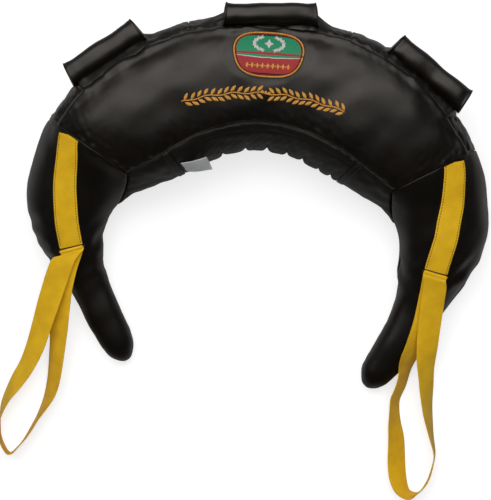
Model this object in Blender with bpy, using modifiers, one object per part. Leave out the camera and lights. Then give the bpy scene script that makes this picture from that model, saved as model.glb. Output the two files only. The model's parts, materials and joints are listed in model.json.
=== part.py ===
"""A bulgarian bag: a crescent of leather panels sewn round a sand and wool filling.

It lies on its back. Three rolled leather handles hang on the outer edge, a webbing strap ends in a hand loop
on the front of each arm, and the arms taper to two grips. Lengths are metres and angles are degrees.
+X is to the right, +Y from the neck gap to the crown, +Z out of the front, and the origin is the middle of
the crown's underside.
"""

import math

import bmesh
import bpy
from mathutils import Matrix, Vector

# Plan of the bag, polar about the arch axis: angle from the crown, inner radius, outer radius
CROWN_OUTER_RADIUS = 0.333
LEFT_PLAN_SHARES = (
    (0, 0.437, 0.984),
    (10, 0.436, 0.986),
    (20, 0.436, 0.990),
    (30, 0.437, 0.998),
    (40, 0.441, 1.004),
    (50, 0.459, 1.006),
    (60, 0.517, 1.003),
    (65, 0.560, 0.991),
    (70, 0.593, 0.978),
    (75, 0.614, 0.966),
    (80, 0.624, 0.947),
    (85, 0.627, 0.919),
    (90, 0.624, 0.879),
    (95, 0.620, 0.830),
    (100, 0.611, 0.793),
    (105, 0.603, 0.764),
    (110, 0.596, 0.745),
    (120, 0.592, 0.726),
    (128, 0.607, 0.718),
    (133, 0.622, 0.712),
)
RIGHT_PLAN_SHARES = (
    (0, 0.437, 0.984),
    (10, 0.437, 0.988),
    (20, 0.440, 0.998),
    (30, 0.444, 1.004),
    (40, 0.455, 1.005),
    (50, 0.479, 1.004),
    (60, 0.527, 0.996),
    (65, 0.560, 0.995),
    (70, 0.585, 0.983),
    (75, 0.595, 0.970),
    (80, 0.601, 0.959),
    (85, 0.600, 0.930),
    (90, 0.599, 0.893),
    (95, 0.600, 0.853),
    (100, 0.604, 0.815),
    (105, 0.605, 0.792),
    (110, 0.606, 0.777),
    (120, 0.610, 0.757),
    (128, 0.627, 0.750),
    (135, 0.648, 0.744),
)
LEFT_TIP_ANGLE = 132.4
RIGHT_TIP_ANGLE = 134.6
TIP_ROUND = 0.022

# Thickness of the filled bag as a share of its radial width, and how deep it beds into the floor
THICKNESS_SHARES = (
    (-135, 0.97),
    (-110, 0.96),
    (-90, 0.90),
    (-60, 0.84),
    (0, 0.80),
    (60, 0.84),
    (90, 0.90),
    (110, 0.96),
    (133, 0.97),
)
BED_SHARE = 0.93
FULLNESS = 2.25

# Seams between the panels
SEAM_GAP = 0.0003
ARM_SEAM_ANGLE = 60
OUTER_SEAM_TURN = 37
INNER_SEAM_TURN = 126
HANDLE_SEAM_ANGLE = 19.5
HEM_ANGLE = 43
GUSSET_END_ANGLE = 72.5

# Layers, from the leather inwards
LEATHER = 0.0024
LAYER_GAP = 0.0004
WADDING = 0.007
CANVAS = 0.001
ELASTIC = 0.0012
ELASTIC_TURN = 11
WADDING_EDGE_TURN = 14
GRIP_ANGLE = 101
ROUND_START_ANGLE = 125

# Rolled handles on the outer edge
HANDLE_ANGLE = 39.6
SIDE_HANDLE_RISE_SHARE = 0.235
CENTER_HANDLE_RISE_SHARE = 0.40
HANDLE_LENGTH = 0.122
HANDLE_CORE_RADIUS = 0.012
HANDLE_OVERHANG = 0.014
HANDLE_CORE_ROUND = 0.003
HANDLE_CORE_ROUND_STEPS = 2
HANDLE_CORE_EDGE_ANGLE = 60
HANDLE_REACH = 0.016
HANDLE_FLARE = 0.004
HANDLE_END_HALF_HEIGHT = 0.009
HANDLE_REST_GAP = 0.0006
MOST_LIFT_ANGLE = 95
LEAN_STEP_ANGLE = 15
ROOT_START_ANGLE = 130
ROOT_END_ANGLE = 230
WELT_REACH = 0.003
SEAT_GAP = 0.0003

# Webbing straps
WEBBING_WIDTH = 0.032
WEBBING = 0.0016
DRAPE_GAP = 0.0006
THREAD_RADIUS = 0.00045
THREAD_OVERHANG = 0.0018
STRAP_START_ANGLE = 60.4
TACK_ANGLE = 91
STRAP_PATH_SHARES = (
    (56, 0.60),
    (61, 0.51),
    (66, 0.34),
    (70.5, 0.21),
    (78.5, 0.0),
    (87, -0.08),
    (91, -0.05),
    (94, -0.03),
)
STRAP_SLOPE_ANGLE = 0.5
STRAP_ROWS = 14
STRAP_STEPS = 4
WALK_STEPS = 8
HALVINGS = 12
FOLD_INNER_RADIUS = THREAD_RADIUS + SEAT_GAP
FOLD_RADIUS = FOLD_INNER_RADIUS + WEBBING

# Hand loops: plan offset from the tack and height, in shares of the loop's reach, and roll of the webbing
LOOP_REACH = 0.300
LEFT_LOOP_SHARES = (
    (-0.029, -0.047, 0.242, 2),
    (-0.049, -0.098, 0.228, 4),
    (-0.083, -0.220, 0.187, 15),
    (-0.116, -0.347, 0.148, 27),
    (-0.143, -0.452, 0.122, 36),
    (-0.179, -0.550, 0.100, 43),
    (-0.222, -0.626, 0.084, 53),
    (-0.257, -0.687, 0.069, 65),
    (-0.279, -0.748, 0.059, 75),
    (-0.288, -0.816, 0.0545, 86),
    (-0.280, -0.893, 0.0538, 89),
    (-0.238, -0.957, 0.0538, 89),
    (-0.200, -0.927, 0.0538, 88),
    (-0.163, -0.875, 0.0538, 84),
    (-0.123, -0.800, 0.0545, 80),
    (-0.099, -0.753, 0.0565, 72),
    (-0.079, -0.706, 0.060, 65),
    (-0.063, -0.655, 0.066, 58),
    (-0.052, -0.591, 0.077, 53),
    (-0.046, -0.505, 0.092, 48),
    (-0.043, -0.427, 0.109, 44),
    (-0.043, -0.346, 0.130, 34),
    (-0.043, -0.256, 0.155, 24),
    (-0.037, -0.166, 0.184, 15),
    (-0.022, -0.085, 0.214, 7),
)
RIGHT_LOOP_SHARES = (
    (0.002, -0.056, 0.264, -6),
    (0.000, -0.115, 0.243, -8),
    (-0.004, -0.237, 0.202, -14),
    (-0.005, -0.373, 0.161, -30),
    (0.003, -0.463, 0.134, -45),
    (0.014, -0.553, 0.112, -55),
    (0.027, -0.642, 0.091, -64),
    (0.050, -0.731, 0.074, -73),
    (0.067, -0.797, 0.062, -83),
    (0.072, -0.843, 0.057, -87),
    (0.062, -0.911, 0.0545, -88),
    (0.043, -0.963, 0.0542, -87),
    (0.013, -1.005, 0.0550, -84),
    (-0.028, -1.022, 0.0530, -72),
    (-0.065, -0.998, 0.0475, -55),
    (-0.086, -0.945, 0.0415, -43),
    (-0.096, -0.878, 0.036, -38),
    (-0.102, -0.820, 0.037, -40),
    (-0.108, -0.757, 0.041, -45),
    (-0.118, -0.698, 0.046, -53),
    (-0.124, -0.635, 0.050, -60),
    (-0.123, -0.586, 0.053, -63),
    (-0.106, -0.532, 0.060, -63),
    (-0.092, -0.464, 0.079, -60),
    (-0.082, -0.400, 0.110, -50),
    (-0.053, -0.312, 0.153, -36),
    (-0.026, -0.211, 0.188, -23),
    (-0.012, -0.120, 0.221, -12),
    (-0.006, -0.060, 0.250, -6),
)
LOOP_LEAD = 0.004
LOOP_CLEARANCE = 0.0012
LOOP_RUNS_APART = WEBBING + 2 * FOLD_INNER_RADIUS
LOOP_SKEW_LENGTH = 0.05
LOOP_SPAN_STEPS = 3
LOOP_COLUMNS = 3
FOLD_STEPS = 4

# Front badge, draped on the front panel
BADGE_WIDTH = 0.094
BADGE_HEIGHT = 0.058
BADGE = 0.0012
BADGE_PLACE_SHARE = 0.36
BADGE_COLUMNS = 10
BADGE_ROWS = 6

# Care label in the hem of the inner gusset
LABEL_LENGTH = 0.036
LABEL = 0.0008
LABEL_TURNS = (146, 168)
LABEL_HEM_OFFSET_ANGLE = 1.2
LABEL_STAND_OFF = 0.0008
LABEL_ROOT = 0.0004
LABEL_SPREAD_ANGLE = 32
LABEL_TWIST_ANGLE = 20
LABEL_STEPS = 6

# Mesh density: all layers share their rings along the arch and their turns round it, so that they nest
RING_ANGLE = 7.5
TURN_STEP = 17
NEAR_RING_ANGLE = 1
TIP_RINGS = 4
HANDLE_STEPS = 16
HANDLE_STATIONS = 8
WELT_TRIES = 12
SMOOTH_ANGLE = 40
WELD = 0.000002


def material(name, colour, roughness):
    made = bpy.data.materials.new(name)
    made.use_nodes = True
    shader = made.node_tree.nodes["Principled BSDF"]
    shader.inputs["Base Color"].default_value = (*colour, 1)
    shader.inputs["Roughness"].default_value = roughness
    shader.inputs["Metallic"].default_value = 0
    return made


def clear_scene():
    for old in list(bpy.data.objects):
        bpy.data.objects.remove(old)


def spread(start, end, steps):
    """Values from start to end in equal steps, both ends included."""
    return [start + (end - start) * i / steps for i in range(steps + 1)]


def spread_through(stops, step):
    """Values from the first stop to the last in steps of about that size that meet every stop."""
    values = [stops[0]]
    for start, end in zip(stops, stops[1:]):
        values += spread(start, end, max(1, round((end - start) / step)))[1:]
    return values


def clear_of_ends(start, values, end):
    """The start, the values that lie well between, and the end."""
    least = NEAR_RING_ANGLE
    return [start] + [value for value in values if start + least < value < end - least] + [end]


def table_value(rows, key, column):
    """A smooth curve through one column of a table whose first column is the key."""
    last = len(rows) - 1
    i = next((n for n in range(last) if key <= rows[n + 1][0]), last - 1)

    def slope(n):
        steps = [m for m in (n - 1, n) if 0 <= m < last]
        rises = [(rows[m + 1][column] - rows[m][column]) / (rows[m + 1][0] - rows[m][0]) for m in steps]
        return sum(rises) / len(rises)

    run = rows[i + 1][0] - rows[i][0]
    t = (key - rows[i][0]) / run
    low, high = rows[i][column], rows[i + 1][column]
    rise_start, rise_end = slope(i) * run, slope(i + 1) * run
    return (
        (2 * t**3 - 3 * t**2 + 1) * low
        + (t**3 - 2 * t**2 + t) * rise_start
        + (3 * t**2 - 2 * t**3) * high
        + (t**3 - t**2) * rise_end
    )


MIRRORED_PLAN_SHARES = tuple((-angle, inner, outer) for angle, inner, outer in RIGHT_PLAN_SHARES[:0:-1])
PLAN_SHARES = MIRRORED_PLAN_SHARES + LEFT_PLAN_SHARES
ARCH_RISE = CROWN_OUTER_RADIUS * (LEFT_PLAN_SHARES[0][1] + LEFT_PLAN_SHARES[0][2]) / 2


def polar(angle, radius, height):
    """The point at that angle and radius about the arch axis."""
    a = math.radians(angle)
    return Vector((-radius * math.sin(a), radius * math.cos(a) - ARCH_RISE, height))


def polar_of(x, y):
    """The angle and radius of a plan position."""
    return math.degrees(math.atan2(-x, y + ARCH_RISE)), math.hypot(x, y + ARCH_RISE)


def full_section(angle):
    """Centre radius, half width, half height and centre height of the bag, before its tips are rounded."""
    inner = CROWN_OUTER_RADIUS * table_value(PLAN_SHARES, angle, 1)
    outer = CROWN_OUTER_RADIUS * table_value(PLAN_SHARES, angle, 2)
    half_width = (outer - inner) / 2
    half_height = half_width * table_value(THICKNESS_SHARES, angle, 1)
    return (inner + outer) / 2, half_width, half_height, BED_SHARE * half_height


def tip_angle(angle):
    return LEFT_TIP_ANGLE if angle > 0 else RIGHT_TIP_ANGLE


def tip_scale(angle, centre, inset):
    """How much of the section is left where the tip rounds off."""
    left = math.radians(tip_angle(angle) - abs(angle)) * centre - inset
    short = min(1, max(0, 1 - left / TIP_ROUND))
    return math.sqrt(1 - short**2)


def section(angle, inset):
    """Centre radius, half width, half height and centre height of the layer at that inset."""
    centre, half_width, half_height, level = full_section(angle)
    scale = tip_scale(angle, centre, inset)
    return centre, (half_width - inset) * scale, (half_height - inset) * scale, level


def signed_power(value):
    return math.copysign(abs(value) ** (2 / FULLNESS), value)


def corner_point(angle, turn, inset, half=0):
    """A point of a layer. turn is 0 at the outer edge, 90 at the front and 180 at the inner edge.

    half is 1 for a piece that ends above the middle seam and -1 for one that ends below it."""
    centre, half_width, half_height, level = section(angle, inset)
    a = math.radians(turn)
    height = max(level + half_height * signed_power(math.sin(a)), inset)
    if half > 0:
        height = max(height, level + SEAM_GAP / 2)
    if half < 0:
        height = min(height, level - SEAM_GAP / 2)
    return polar(angle, centre + half_width * signed_power(math.cos(a)), height)


def bag_point(angle, turn, inset, half=0):
    """A point of a layer, which is straight between the turns that all layers share."""
    folded = 180 - abs(180 - turn % 360)
    i = max(n for n, shared in enumerate(FRONT_TURNS[:-1]) if shared <= folded)
    t = (folded - FRONT_TURNS[i]) / (FRONT_TURNS[i + 1] - FRONT_TURNS[i])
    side = 1 if turn % 360 <= 180 else -1
    low, high = [corner_point(angle, side * shared, inset, half) for shared in FRONT_TURNS[i:i + 2]]
    return low.lerp(high, t)


def seam_angle(radius):
    """The angle that half a seam gap covers at that radius."""
    return math.degrees(SEAM_GAP / 2 / radius)


CROSS_SEAM = seam_angle(CROWN_OUTER_RADIUS * LEFT_PLAN_SHARES[0][1])
LONG_SEAM = seam_angle(full_section(0)[2])
FRONT_TURNS = spread_through((0, OUTER_SEAM_TURN, INNER_SEAM_TURN, 180), TURN_STEP)
# The inner gusset's edge meets the next turn at each ring as it narrows
TAPER_RINGS = len([turn for turn in FRONT_TURNS if turn > INNER_SEAM_TURN])
HALF_RING_ANGLES = (
    spread_through((0, HANDLE_SEAM_ANGLE, HEM_ANGLE, ARM_SEAM_ANGLE), RING_ANGLE)
    + spread(ARM_SEAM_ANGLE, GUSSET_END_ANGLE, TAPER_RINGS)[1:]
    + spread_through((GUSSET_END_ANGLE, GRIP_ANGLE, ROUND_START_ANGLE), RING_ANGLE)[1:]
)
RING_ANGLES = [-angle for angle in HALF_RING_ANGLES[:0:-1]] + HALF_RING_ANGLES
SIDES = (("left", 1), ("right", -1))
HANDLES = (
    ("left", HANDLE_ANGLE, SIDE_HANDLE_RISE_SHARE),
    ("center", 0, CENTER_HANDLE_RISE_SHARE),
    ("right", -HANDLE_ANGLE, SIDE_HANDLE_RISE_SHARE),
)
CROWN_LENGTHS = (
    ("right", -ARM_SEAM_ANGLE, -HANDLE_SEAM_ANGLE),
    ("center", -HANDLE_SEAM_ANGLE, HANDLE_SEAM_ANGLE),
    ("left", HANDLE_SEAM_ANGLE, ARM_SEAM_ANGLE),
)


def add_object(name, mesh, finish, parent=None):
    """An object for a closed bmesh, smooth where its faces meet gently."""
    bmesh.ops.remove_doubles(mesh, verts=mesh.verts, dist=WELD)
    bmesh.ops.recalc_face_normals(mesh, faces=mesh.faces)
    data = bpy.data.meshes.new(name)
    mesh.to_mesh(data)
    mesh.free()
    data.shade_smooth()
    data.set_sharp_from_angle(angle=math.radians(SMOOTH_ANGLE))
    made = bpy.data.objects.new(name, data)
    return add_made(made, finish, parent)


def add_made(made, finish, parent=None):
    made.data.materials.append(finish)
    made.parent = parent
    bag.objects.link(made)
    return made


def inwards(vertex):
    """A measure that grows towards the tips and towards the inner edge of the bag."""
    angle, radius = polar_of(*vertex.co.xy)
    centre, half_width, _, _ = full_section(angle)
    return abs(angle) - math.degrees((radius - centre) / half_width)


def join_rings(mesh, rings, closed=False, nested=False):
    """Pairs of triangles between each ring of vertices and the next.

    In nested layers they share the diagonal that runs inwards, so that the layers are split alike."""
    following = rings[1:] + (rings[:1] if closed else [])
    for ring, after in zip(rings, following):
        for i in range(len(ring)):
            corners = [ring[i], ring[(i + 1) % len(ring)], after[(i + 1) % len(ring)], after[i]]
            if nested:
                rises = [inwards(corner) for corner in corners]
                if abs(rises[3] - rises[1]) > abs(rises[2] - rises[0]):
                    corners = corners[1:] + corners[:1]
            mesh.faces.new(corners[:3])
            mesh.faces.new((corners[0], corners[2], corners[3]))


def loft(name, rings, finish, parent=None, closed=False, nested=False):
    """A solid through closed rings of points, capped at both ends unless it closes on itself."""
    mesh = bmesh.new()
    made = [[mesh.verts.new(point) for point in ring] for ring in rings]
    join_rings(mesh, made, closed, nested)
    if not closed:
        mesh.faces.new(made[0])
        mesh.faces.new(made[-1])
    return add_object(name, mesh, finish, parent)


def sleeve(name, outer, inner, finish, parent=None):
    """A tube that is open at both ends, from rings of its outside and its inside."""
    mesh = bmesh.new()
    outside = [[mesh.verts.new(point) for point in ring] for ring in outer]
    inside = [[mesh.verts.new(point) for point in ring] for ring in inner]
    join_rings(mesh, outside)
    join_rings(mesh, inside)
    join_rings(mesh, [outside[0], inside[0]])
    join_rings(mesh, [outside[-1], inside[-1]])
    return add_object(name, mesh, finish, parent)


def panel(name, angles, turns, depth, finish, half=0):
    """A piece of one layer between two insets. turns gives the points across it for an angle."""
    outer, inner = depth
    rings = []
    for outer_angle, inner_angle in angles:
        across = turns(outer_angle)
        ring = [bag_point(outer_angle, turn, outer, half) for turn in across]
        ring += [bag_point(inner_angle, turn, inner, half) for turn in reversed(across)]
        rings.append(ring)
    return loft(name, rings, finish, nested=True)


def seam_to_seam(start, end):
    """Ring angles between two cross seams, clear of each by half the seam gap."""
    return clear_of_ends(start + CROSS_SEAM, RING_ANGLES, end - CROSS_SEAM)


def seam_to_tip(side, start, inset):
    """Ring angles from a cross seam to the tip of a layer at that inset."""
    tip = tip_angle(side)
    radius = full_section(side * tip)[0]
    end = tip - math.degrees(inset / radius)
    round_angle = math.degrees(TIP_ROUND / radius)
    straight = clear_of_ends(start + CROSS_SEAM, HALF_RING_ANGLES, end - round_angle)
    quarter = [math.radians(90 * i / TIP_RINGS) for i in range(1, TIP_RINGS + 1)]
    curved = [end - round_angle * (1 - math.sin(t)) for t in quarter]
    return [side * a for a in straight + curved]


def same(angles):
    """Ring angles of a piece whose outside and inside have the same ones."""
    return [(angle, angle) for angle in angles]


def gusset_turn(angle):
    """Where the inner gusset's front seam runs. It swings to the middle of the inner edge at its end."""
    past = (abs(angle) - ARM_SEAM_ANGLE) / (GUSSET_END_ANGLE - ARM_SEAM_ANGLE)
    return INNER_SEAM_TURN + (180 - INNER_SEAM_TURN) * min(1, max(0, past))


def mirrored(turns):
    """The same turns on the back of the bag."""
    return [360 - turn for turn in turns]


def front_turns(angle):
    return clear_of_ends(OUTER_SEAM_TURN + LONG_SEAM, FRONT_TURNS, INNER_SEAM_TURN - LONG_SEAM)


def outer_gusset_turns(angle):
    edge = OUTER_SEAM_TURN - LONG_SEAM
    return clear_of_ends(-edge, [-turn for turn in FRONT_TURNS[:0:-1]] + FRONT_TURNS, edge)


def inner_gusset_turns(angle):
    """All the turns past the seam. As the gusset narrows, those outside it are drawn in to its edge."""
    edge = min(180, gusset_turn(angle) + LONG_SEAM)
    inside = [turn for turn in FRONT_TURNS if turn > INNER_SEAM_TURN + LONG_SEAM]
    half = [edge] + [max(turn, edge) for turn in inside]
    return half + mirrored(half[-2::-1])


def arm_front_turns(angle):
    edge = gusset_turn(angle) - LONG_SEAM if abs(angle) < GUSSET_END_ANGLE else 180
    return [min(turn, edge) for turn in FRONT_TURNS]


def wadding_turns(angle):
    return clear_of_ends(0, FRONT_TURNS, 180 - WADDING_EDGE_TURN)


def around(angle, inset):
    """A whole ring of a layer."""
    return [bag_point(angle, turn, inset) for turn in FRONT_TURNS + mirrored(FRONT_TURNS[-2:0:-1])]


def build_crown_leather():
    depth = (0, LEATHER)
    whole = same(seam_to_seam(-ARM_SEAM_ANGLE, ARM_SEAM_ANGLE))
    panel("front_panel", whole, front_turns, depth, leather)
    panel("back_panel", whole, lambda a: mirrored(front_turns(a)), depth, leather)
    for name, start, end in CROWN_LENGTHS:
        panel(f"{name}_outer_gusset", same(seam_to_seam(start, end)), outer_gusset_turns, depth, leather)


def build_inner_gussets():
    depth = (0, LEATHER)
    hem_to_hem = same(seam_to_seam(-HEM_ANGLE, HEM_ANGLE))
    panel("center_inner_gusset", hem_to_hem, inner_gusset_turns, depth, lining)
    for name, side in SIDES:
        angles = clear_of_ends(HEM_ANGLE + CROSS_SEAM, HALF_RING_ANGLES, GUSSET_END_ANGLE)
        panel(f"{name}_inner_gusset", same([side * a for a in angles]), inner_gusset_turns, depth, lining)


def build_arm_leather():
    depth = (0, LEATHER)
    for name, side in SIDES:
        pairs = list(zip(*[seam_to_tip(side, ARM_SEAM_ANGLE, inset) for inset in depth]))
        panel(f"{name}_arm_front", pairs, arm_front_turns, depth, leather, half=1)
        panel(f"{name}_arm_back", pairs, lambda a: mirrored(arm_front_turns(a)), depth, leather, half=-1)


def build_wadding():
    """Two felt halves round the crown's sand. They leave the inner edge to the neck gusset's elastic."""
    start = LEATHER + LAYER_GAP
    depth = (start, start + WADDING)
    whole = same(seam_to_seam(-ARM_SEAM_ANGLE, ARM_SEAM_ANGLE))
    panel("front_wadding", whole, wadding_turns, depth, wool, half=1)
    panel("back_wadding", whole, lambda a: mirrored(wadding_turns(a)), depth, wool, half=-1)
    elastic_turns = spread(180 - ELASTIC_TURN, 180 + ELASTIC_TURN, 2)
    elastic_depth = (start, start + ELASTIC)
    hem_to_hem = same(seam_to_seam(-HEM_ANGLE, HEM_ANGLE))
    panel("neck_elastic", hem_to_hem, lambda a: elastic_turns, elastic_depth, elastic)


def build_sand():
    """Three canvas pouches, open at one end, each with its sand."""
    outer = LEATHER + LAYER_GAP + WADDING + LAYER_GAP
    inner = outer + CANVAS
    sand_inset = inner + LAYER_GAP
    floor_angle = math.degrees(CANVAS / full_section(0)[0])
    gap_angle = math.degrees(LAYER_GAP / full_section(0)[0])
    for name, start, end in CROWN_LENGTHS:
        angles = seam_to_seam(start, end)
        mesh = bmesh.new()
        outside = [[mesh.verts.new(point) for point in around(a, outer)] for a in angles]
        hollow = [angles[0] + floor_angle] + angles[1:]
        inside = [[mesh.verts.new(point) for point in around(a, inner)] for a in hollow]
        join_rings(mesh, outside, nested=True)
        join_rings(mesh, inside, nested=True)
        join_rings(mesh, [outside[-1], inside[-1]])
        mesh.faces.new(outside[0])
        mesh.faces.new(inside[0])
        add_object(f"{name}_sand_pouch", mesh, canvas)
        filled = [hollow[0] + gap_angle] + angles[1:-1] + [angles[-1] - gap_angle]
        loft(f"{name}_sand", [around(a, sand_inset) for a in filled], sand, nested=True)


def build_arm_filling():
    """Packed wool down to the grip, and a dense rubber core in the grip."""
    inset = LEATHER + LAYER_GAP
    for name, side in SIDES:
        arm = clear_of_ends(ARM_SEAM_ANGLE + CROSS_SEAM, HALF_RING_ANGLES, GRIP_ANGLE - CROSS_SEAM)
        loft(f"{name}_arm_wool", [around(side * a, inset) for a in arm], wool, nested=True)
        grip = seam_to_tip(side, GRIP_ANGLE, inset)
        loft(f"{name}_grip_core", [around(a, inset) for a in grip], rubber, nested=True)


def bag_side(angle, height):
    """Radius of the bag's outer side at that height above the floor, and how far it faces up, in radians."""
    centre, half_width, half_height, level = section(angle, 0)
    corners = []
    for turn in FRONT_TURNS:
        a = math.radians(turn)
        rise, reach = half_height * signed_power(math.sin(a)), half_width * signed_power(math.cos(a))
        corners.append((level + rise, centre + reach))
    for (low, wide), (high, narrow) in zip(corners, corners[1:]):
        if height <= high:
            across = (narrow - wide) * (height - low) / (high - low)
            return wide + across, math.atan2(wide - narrow, high - low)
    return 0, 0


def handle_root(angle, rise_share):
    """A handle's place on the bag's side, and the directions out of the bag and up along it."""
    _, _, half_height, level = section(angle, 0)
    height = level + half_height * rise_share
    radius, tilt = bag_side(angle, height)
    out, up = Vector((0, math.cos(tilt), math.sin(tilt))), Vector((0, -math.sin(tilt), math.cos(tilt)))
    return Vector((0, radius, height)), out, up


def handle_frame(angle, rise_share):
    """Matrix of a handle's hinge: X along it, Y out and Z up, lifted till the handle leans on the bag."""
    root, out, _ = handle_root(angle, rise_share)
    hinge = root + out * (WELT_REACH + SEAT_GAP + LEATHER)
    reach = HANDLE_CORE_RADIUS + SEAT_GAP + LEATHER + HANDLE_REST_GAP
    around_roll = [math.radians(turn) for turn in range(-90, 90, LEAN_STEP_ANGLE)]

    def leans_clear(lift):
        a = math.radians(lift)
        middle = hinge + Vector((0, math.cos(a), math.sin(a))) * HANDLE_REACH
        inside = [middle + Vector((0, -math.cos(b), math.sin(b))) * reach for b in around_roll]
        return all(point.y >= bag_side(angle, point.z)[0] for point in inside)

    lift = next((lift for lift in range(MOST_LIFT_ANGLE, 0, -1) if leans_clear(lift)), 0)
    turned = Matrix.Rotation(math.radians(angle), 4, "Z")
    lifted = Matrix.Rotation(math.radians(lift), 4, "X")
    return Matrix.Translation(polar(angle, hinge.y, hinge.z)) @ turned @ lifted


def roll_ring(along, half_reach, half_height, middle, thickness):
    """One ring of a handle's cover: an oval round the core, whose outside has a rounded root at the hinge."""
    root_points = HANDLE_STEPS // 4
    ring = []
    for i in range(HANDLE_STEPS):
        turn = math.radians(360 * (i - (HANDLE_STEPS - root_points) / 2 + 0.5) / HANDLE_STEPS)
        y = middle + (half_reach - thickness) * math.cos(turn)
        z = (half_height - thickness) * math.sin(turn)
        if not thickness and i >= HANDLE_STEPS - root_points:
            along_root = (i - HANDLE_STEPS + root_points) / (root_points - 1)
            bend = math.radians(ROOT_START_ANGLE + (ROOT_END_ANGLE - ROOT_START_ANGLE) * along_root)
            y, z = LEATHER * math.cos(bend), LEATHER * math.sin(bend)
        ring.append(Vector((along, y, z)))
    return ring


def build_handle(name, angle, rise_share):
    """A leather sleeve round a core, turning on its root, and the sewn welt that carries it."""
    hinge = bpy.data.objects.new(f"{name}_handle_hinge", None)
    hinge.matrix_world = handle_frame(angle, rise_share)
    bag.objects.link(hinge)

    radius = HANDLE_CORE_RADIUS + SEAT_GAP + LEATHER
    near = HANDLE_REACH - radius
    outer, inner = [], []
    for along in spread(-HANDLE_LENGTH / 2, HANDLE_LENGTH / 2, HANDLE_STATIONS):
        past_core = 1 - (HANDLE_LENGTH / 2 - abs(along)) / HANDLE_OVERHANG
        flare = min(1, max(0, past_core))
        far = HANDLE_REACH + radius + HANDLE_FLARE * flare
        half_height = radius + (HANDLE_END_HALF_HEIGHT - radius) * flare
        ring = (along, (far - near) / 2, half_height, (far + near) / 2)
        outer.append(roll_ring(*ring, 0))
        inner.append(roll_ring(*ring, LEATHER))
    sleeve(f"{name}_handle_cover", outer, inner, leather, hinge)

    bpy.ops.mesh.primitive_cylinder_add(
        vertices=HANDLE_STEPS,
        radius=HANDLE_CORE_RADIUS * math.cos(math.pi / HANDLE_STEPS),
        depth=HANDLE_LENGTH - 2 * HANDLE_OVERHANG,
        location=(0, HANDLE_REACH, 0),
        rotation=(0, math.radians(90), 0),
    )
    core = bpy.context.object
    core.name = f"{name}_handle_core"
    bpy.context.collection.objects.unlink(core)
    ends = core.modifiers.new("rounded ends", "BEVEL")
    ends.width = HANDLE_CORE_ROUND
    ends.segments = HANDLE_CORE_ROUND_STEPS
    ends.limit_method = "ANGLE"
    ends.angle_limit = math.radians(HANDLE_CORE_EDGE_ANGLE)
    add_made(core, foam, hinge)
    build_welt(name, angle, rise_share)


def build_welt(name, angle, rise_share):
    """The seam allowance on the outer gusset: its foot follows the curve and its edge is straight."""
    root, out, up = handle_root(angle, rise_share)
    turned = Matrix.Rotation(math.radians(angle), 3, "Z")
    rings = []
    for along in spread(-HANDLE_LENGTH / 2, HANDLE_LENGTH / 2, HANDLE_STATIONS):
        outer_edge = root + out * WELT_REACH + Vector((along, 0, 0))
        inner_edge = outer_edge.copy()
        for _ in range(WELT_TRIES):
            here = angle + math.degrees(math.atan2(-along, inner_edge.y))
            off = math.hypot(along, inner_edge.y) - bag_side(here, inner_edge.z)[0]
            inner_edge -= out * (off * out.y - SEAT_GAP)
        low, high = up * LEATHER / 4, up * LEATHER
        ring = [inner_edge - high, outer_edge - low, outer_edge + low, inner_edge + high]
        rings.append([turned @ corner - Vector((0, ARCH_RISE, 0)) for corner in ring])
    loft(f"{name}_handle_welt", rings, leather)


def front_height(x, y, lift):
    """Height of the front surface, raised by lift, over a plan position.

    It runs straight from ring to ring, as the leather's facets do."""
    angle, radius = polar_of(x, y)
    before = max(ring for ring in RING_ANGLES[:-1] if ring <= angle)
    after = min(ring for ring in RING_ANGLES[1:] if ring > angle)
    t = (angle - before) / (after - before)
    rings = zip(full_section(before), full_section(after))
    centre, half_width, half_height, level = [low + (high - low) * t for low, high in rings]
    off = min(1, abs(radius - centre) / (half_width + lift))
    return level + (half_height + lift) * (1 - off**FULLNESS) ** (1 / FULLNESS)


def strap_plan(side, angle):
    """Plan position of the strap's centreline."""
    centre, half_width, _, _ = full_section(side * angle)
    place = polar(side * angle, centre + half_width * table_value(STRAP_PATH_SHARES, angle, 1), 0)
    return place.xy


def strap_direction(side, angle):
    """Plan direction in which the strap runs down the arm."""
    before, after = [strap_plan(side, angle + way * STRAP_SLOPE_ANGLE) for way in (-1, 1)]
    return (after - before).normalized()


def walk_across(start, direction, distance):
    """The plan position reached by going that far over the front surface in a plan direction."""
    here = start.copy()
    stride = distance / WALK_STEPS
    for _ in range(WALK_STEPS):
        ahead = here + direction * stride
        rise = (front_height(*ahead, 0) - front_height(*here, 0)) / stride
        here = here + direction * stride / math.sqrt(1 + rise**2)
    return here


def tack_frame(side):
    """Matrix of a loop's hinge: X along the row of stitches, Y up the arm and Z out of the leather."""
    middle = strap_plan(side, TACK_ANGLE)
    down = strap_direction(side, TACK_ANGLE)
    across = Vector((-down.y, down.x))
    ends = [walk_across(middle, across * way, WEBBING_WIDTH / 2) for way in (-1, 1)]
    low, high = [Vector((*end, front_height(*end, 0))) for end in ends]
    along = (high - low).normalized()
    ahead, behind = [middle + down * way * WEBBING_WIDTH / 2 for way in (1, -1)]
    slope = Vector((*ahead, front_height(*ahead, 0))) - Vector((*behind, front_height(*behind, 0)))
    out = along.cross(slope).normalized()
    if out.z < 0:
        out.negate()
    up_arm = out.cross(along).normalized()
    base = Vector((*middle, front_height(*middle, 0)))
    axis = base + out * (DRAPE_GAP + FOLD_RADIUS)
    turned = Matrix((along, up_arm, out)).transposed().to_4x4()
    return Matrix.Translation(axis) @ turned


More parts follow.
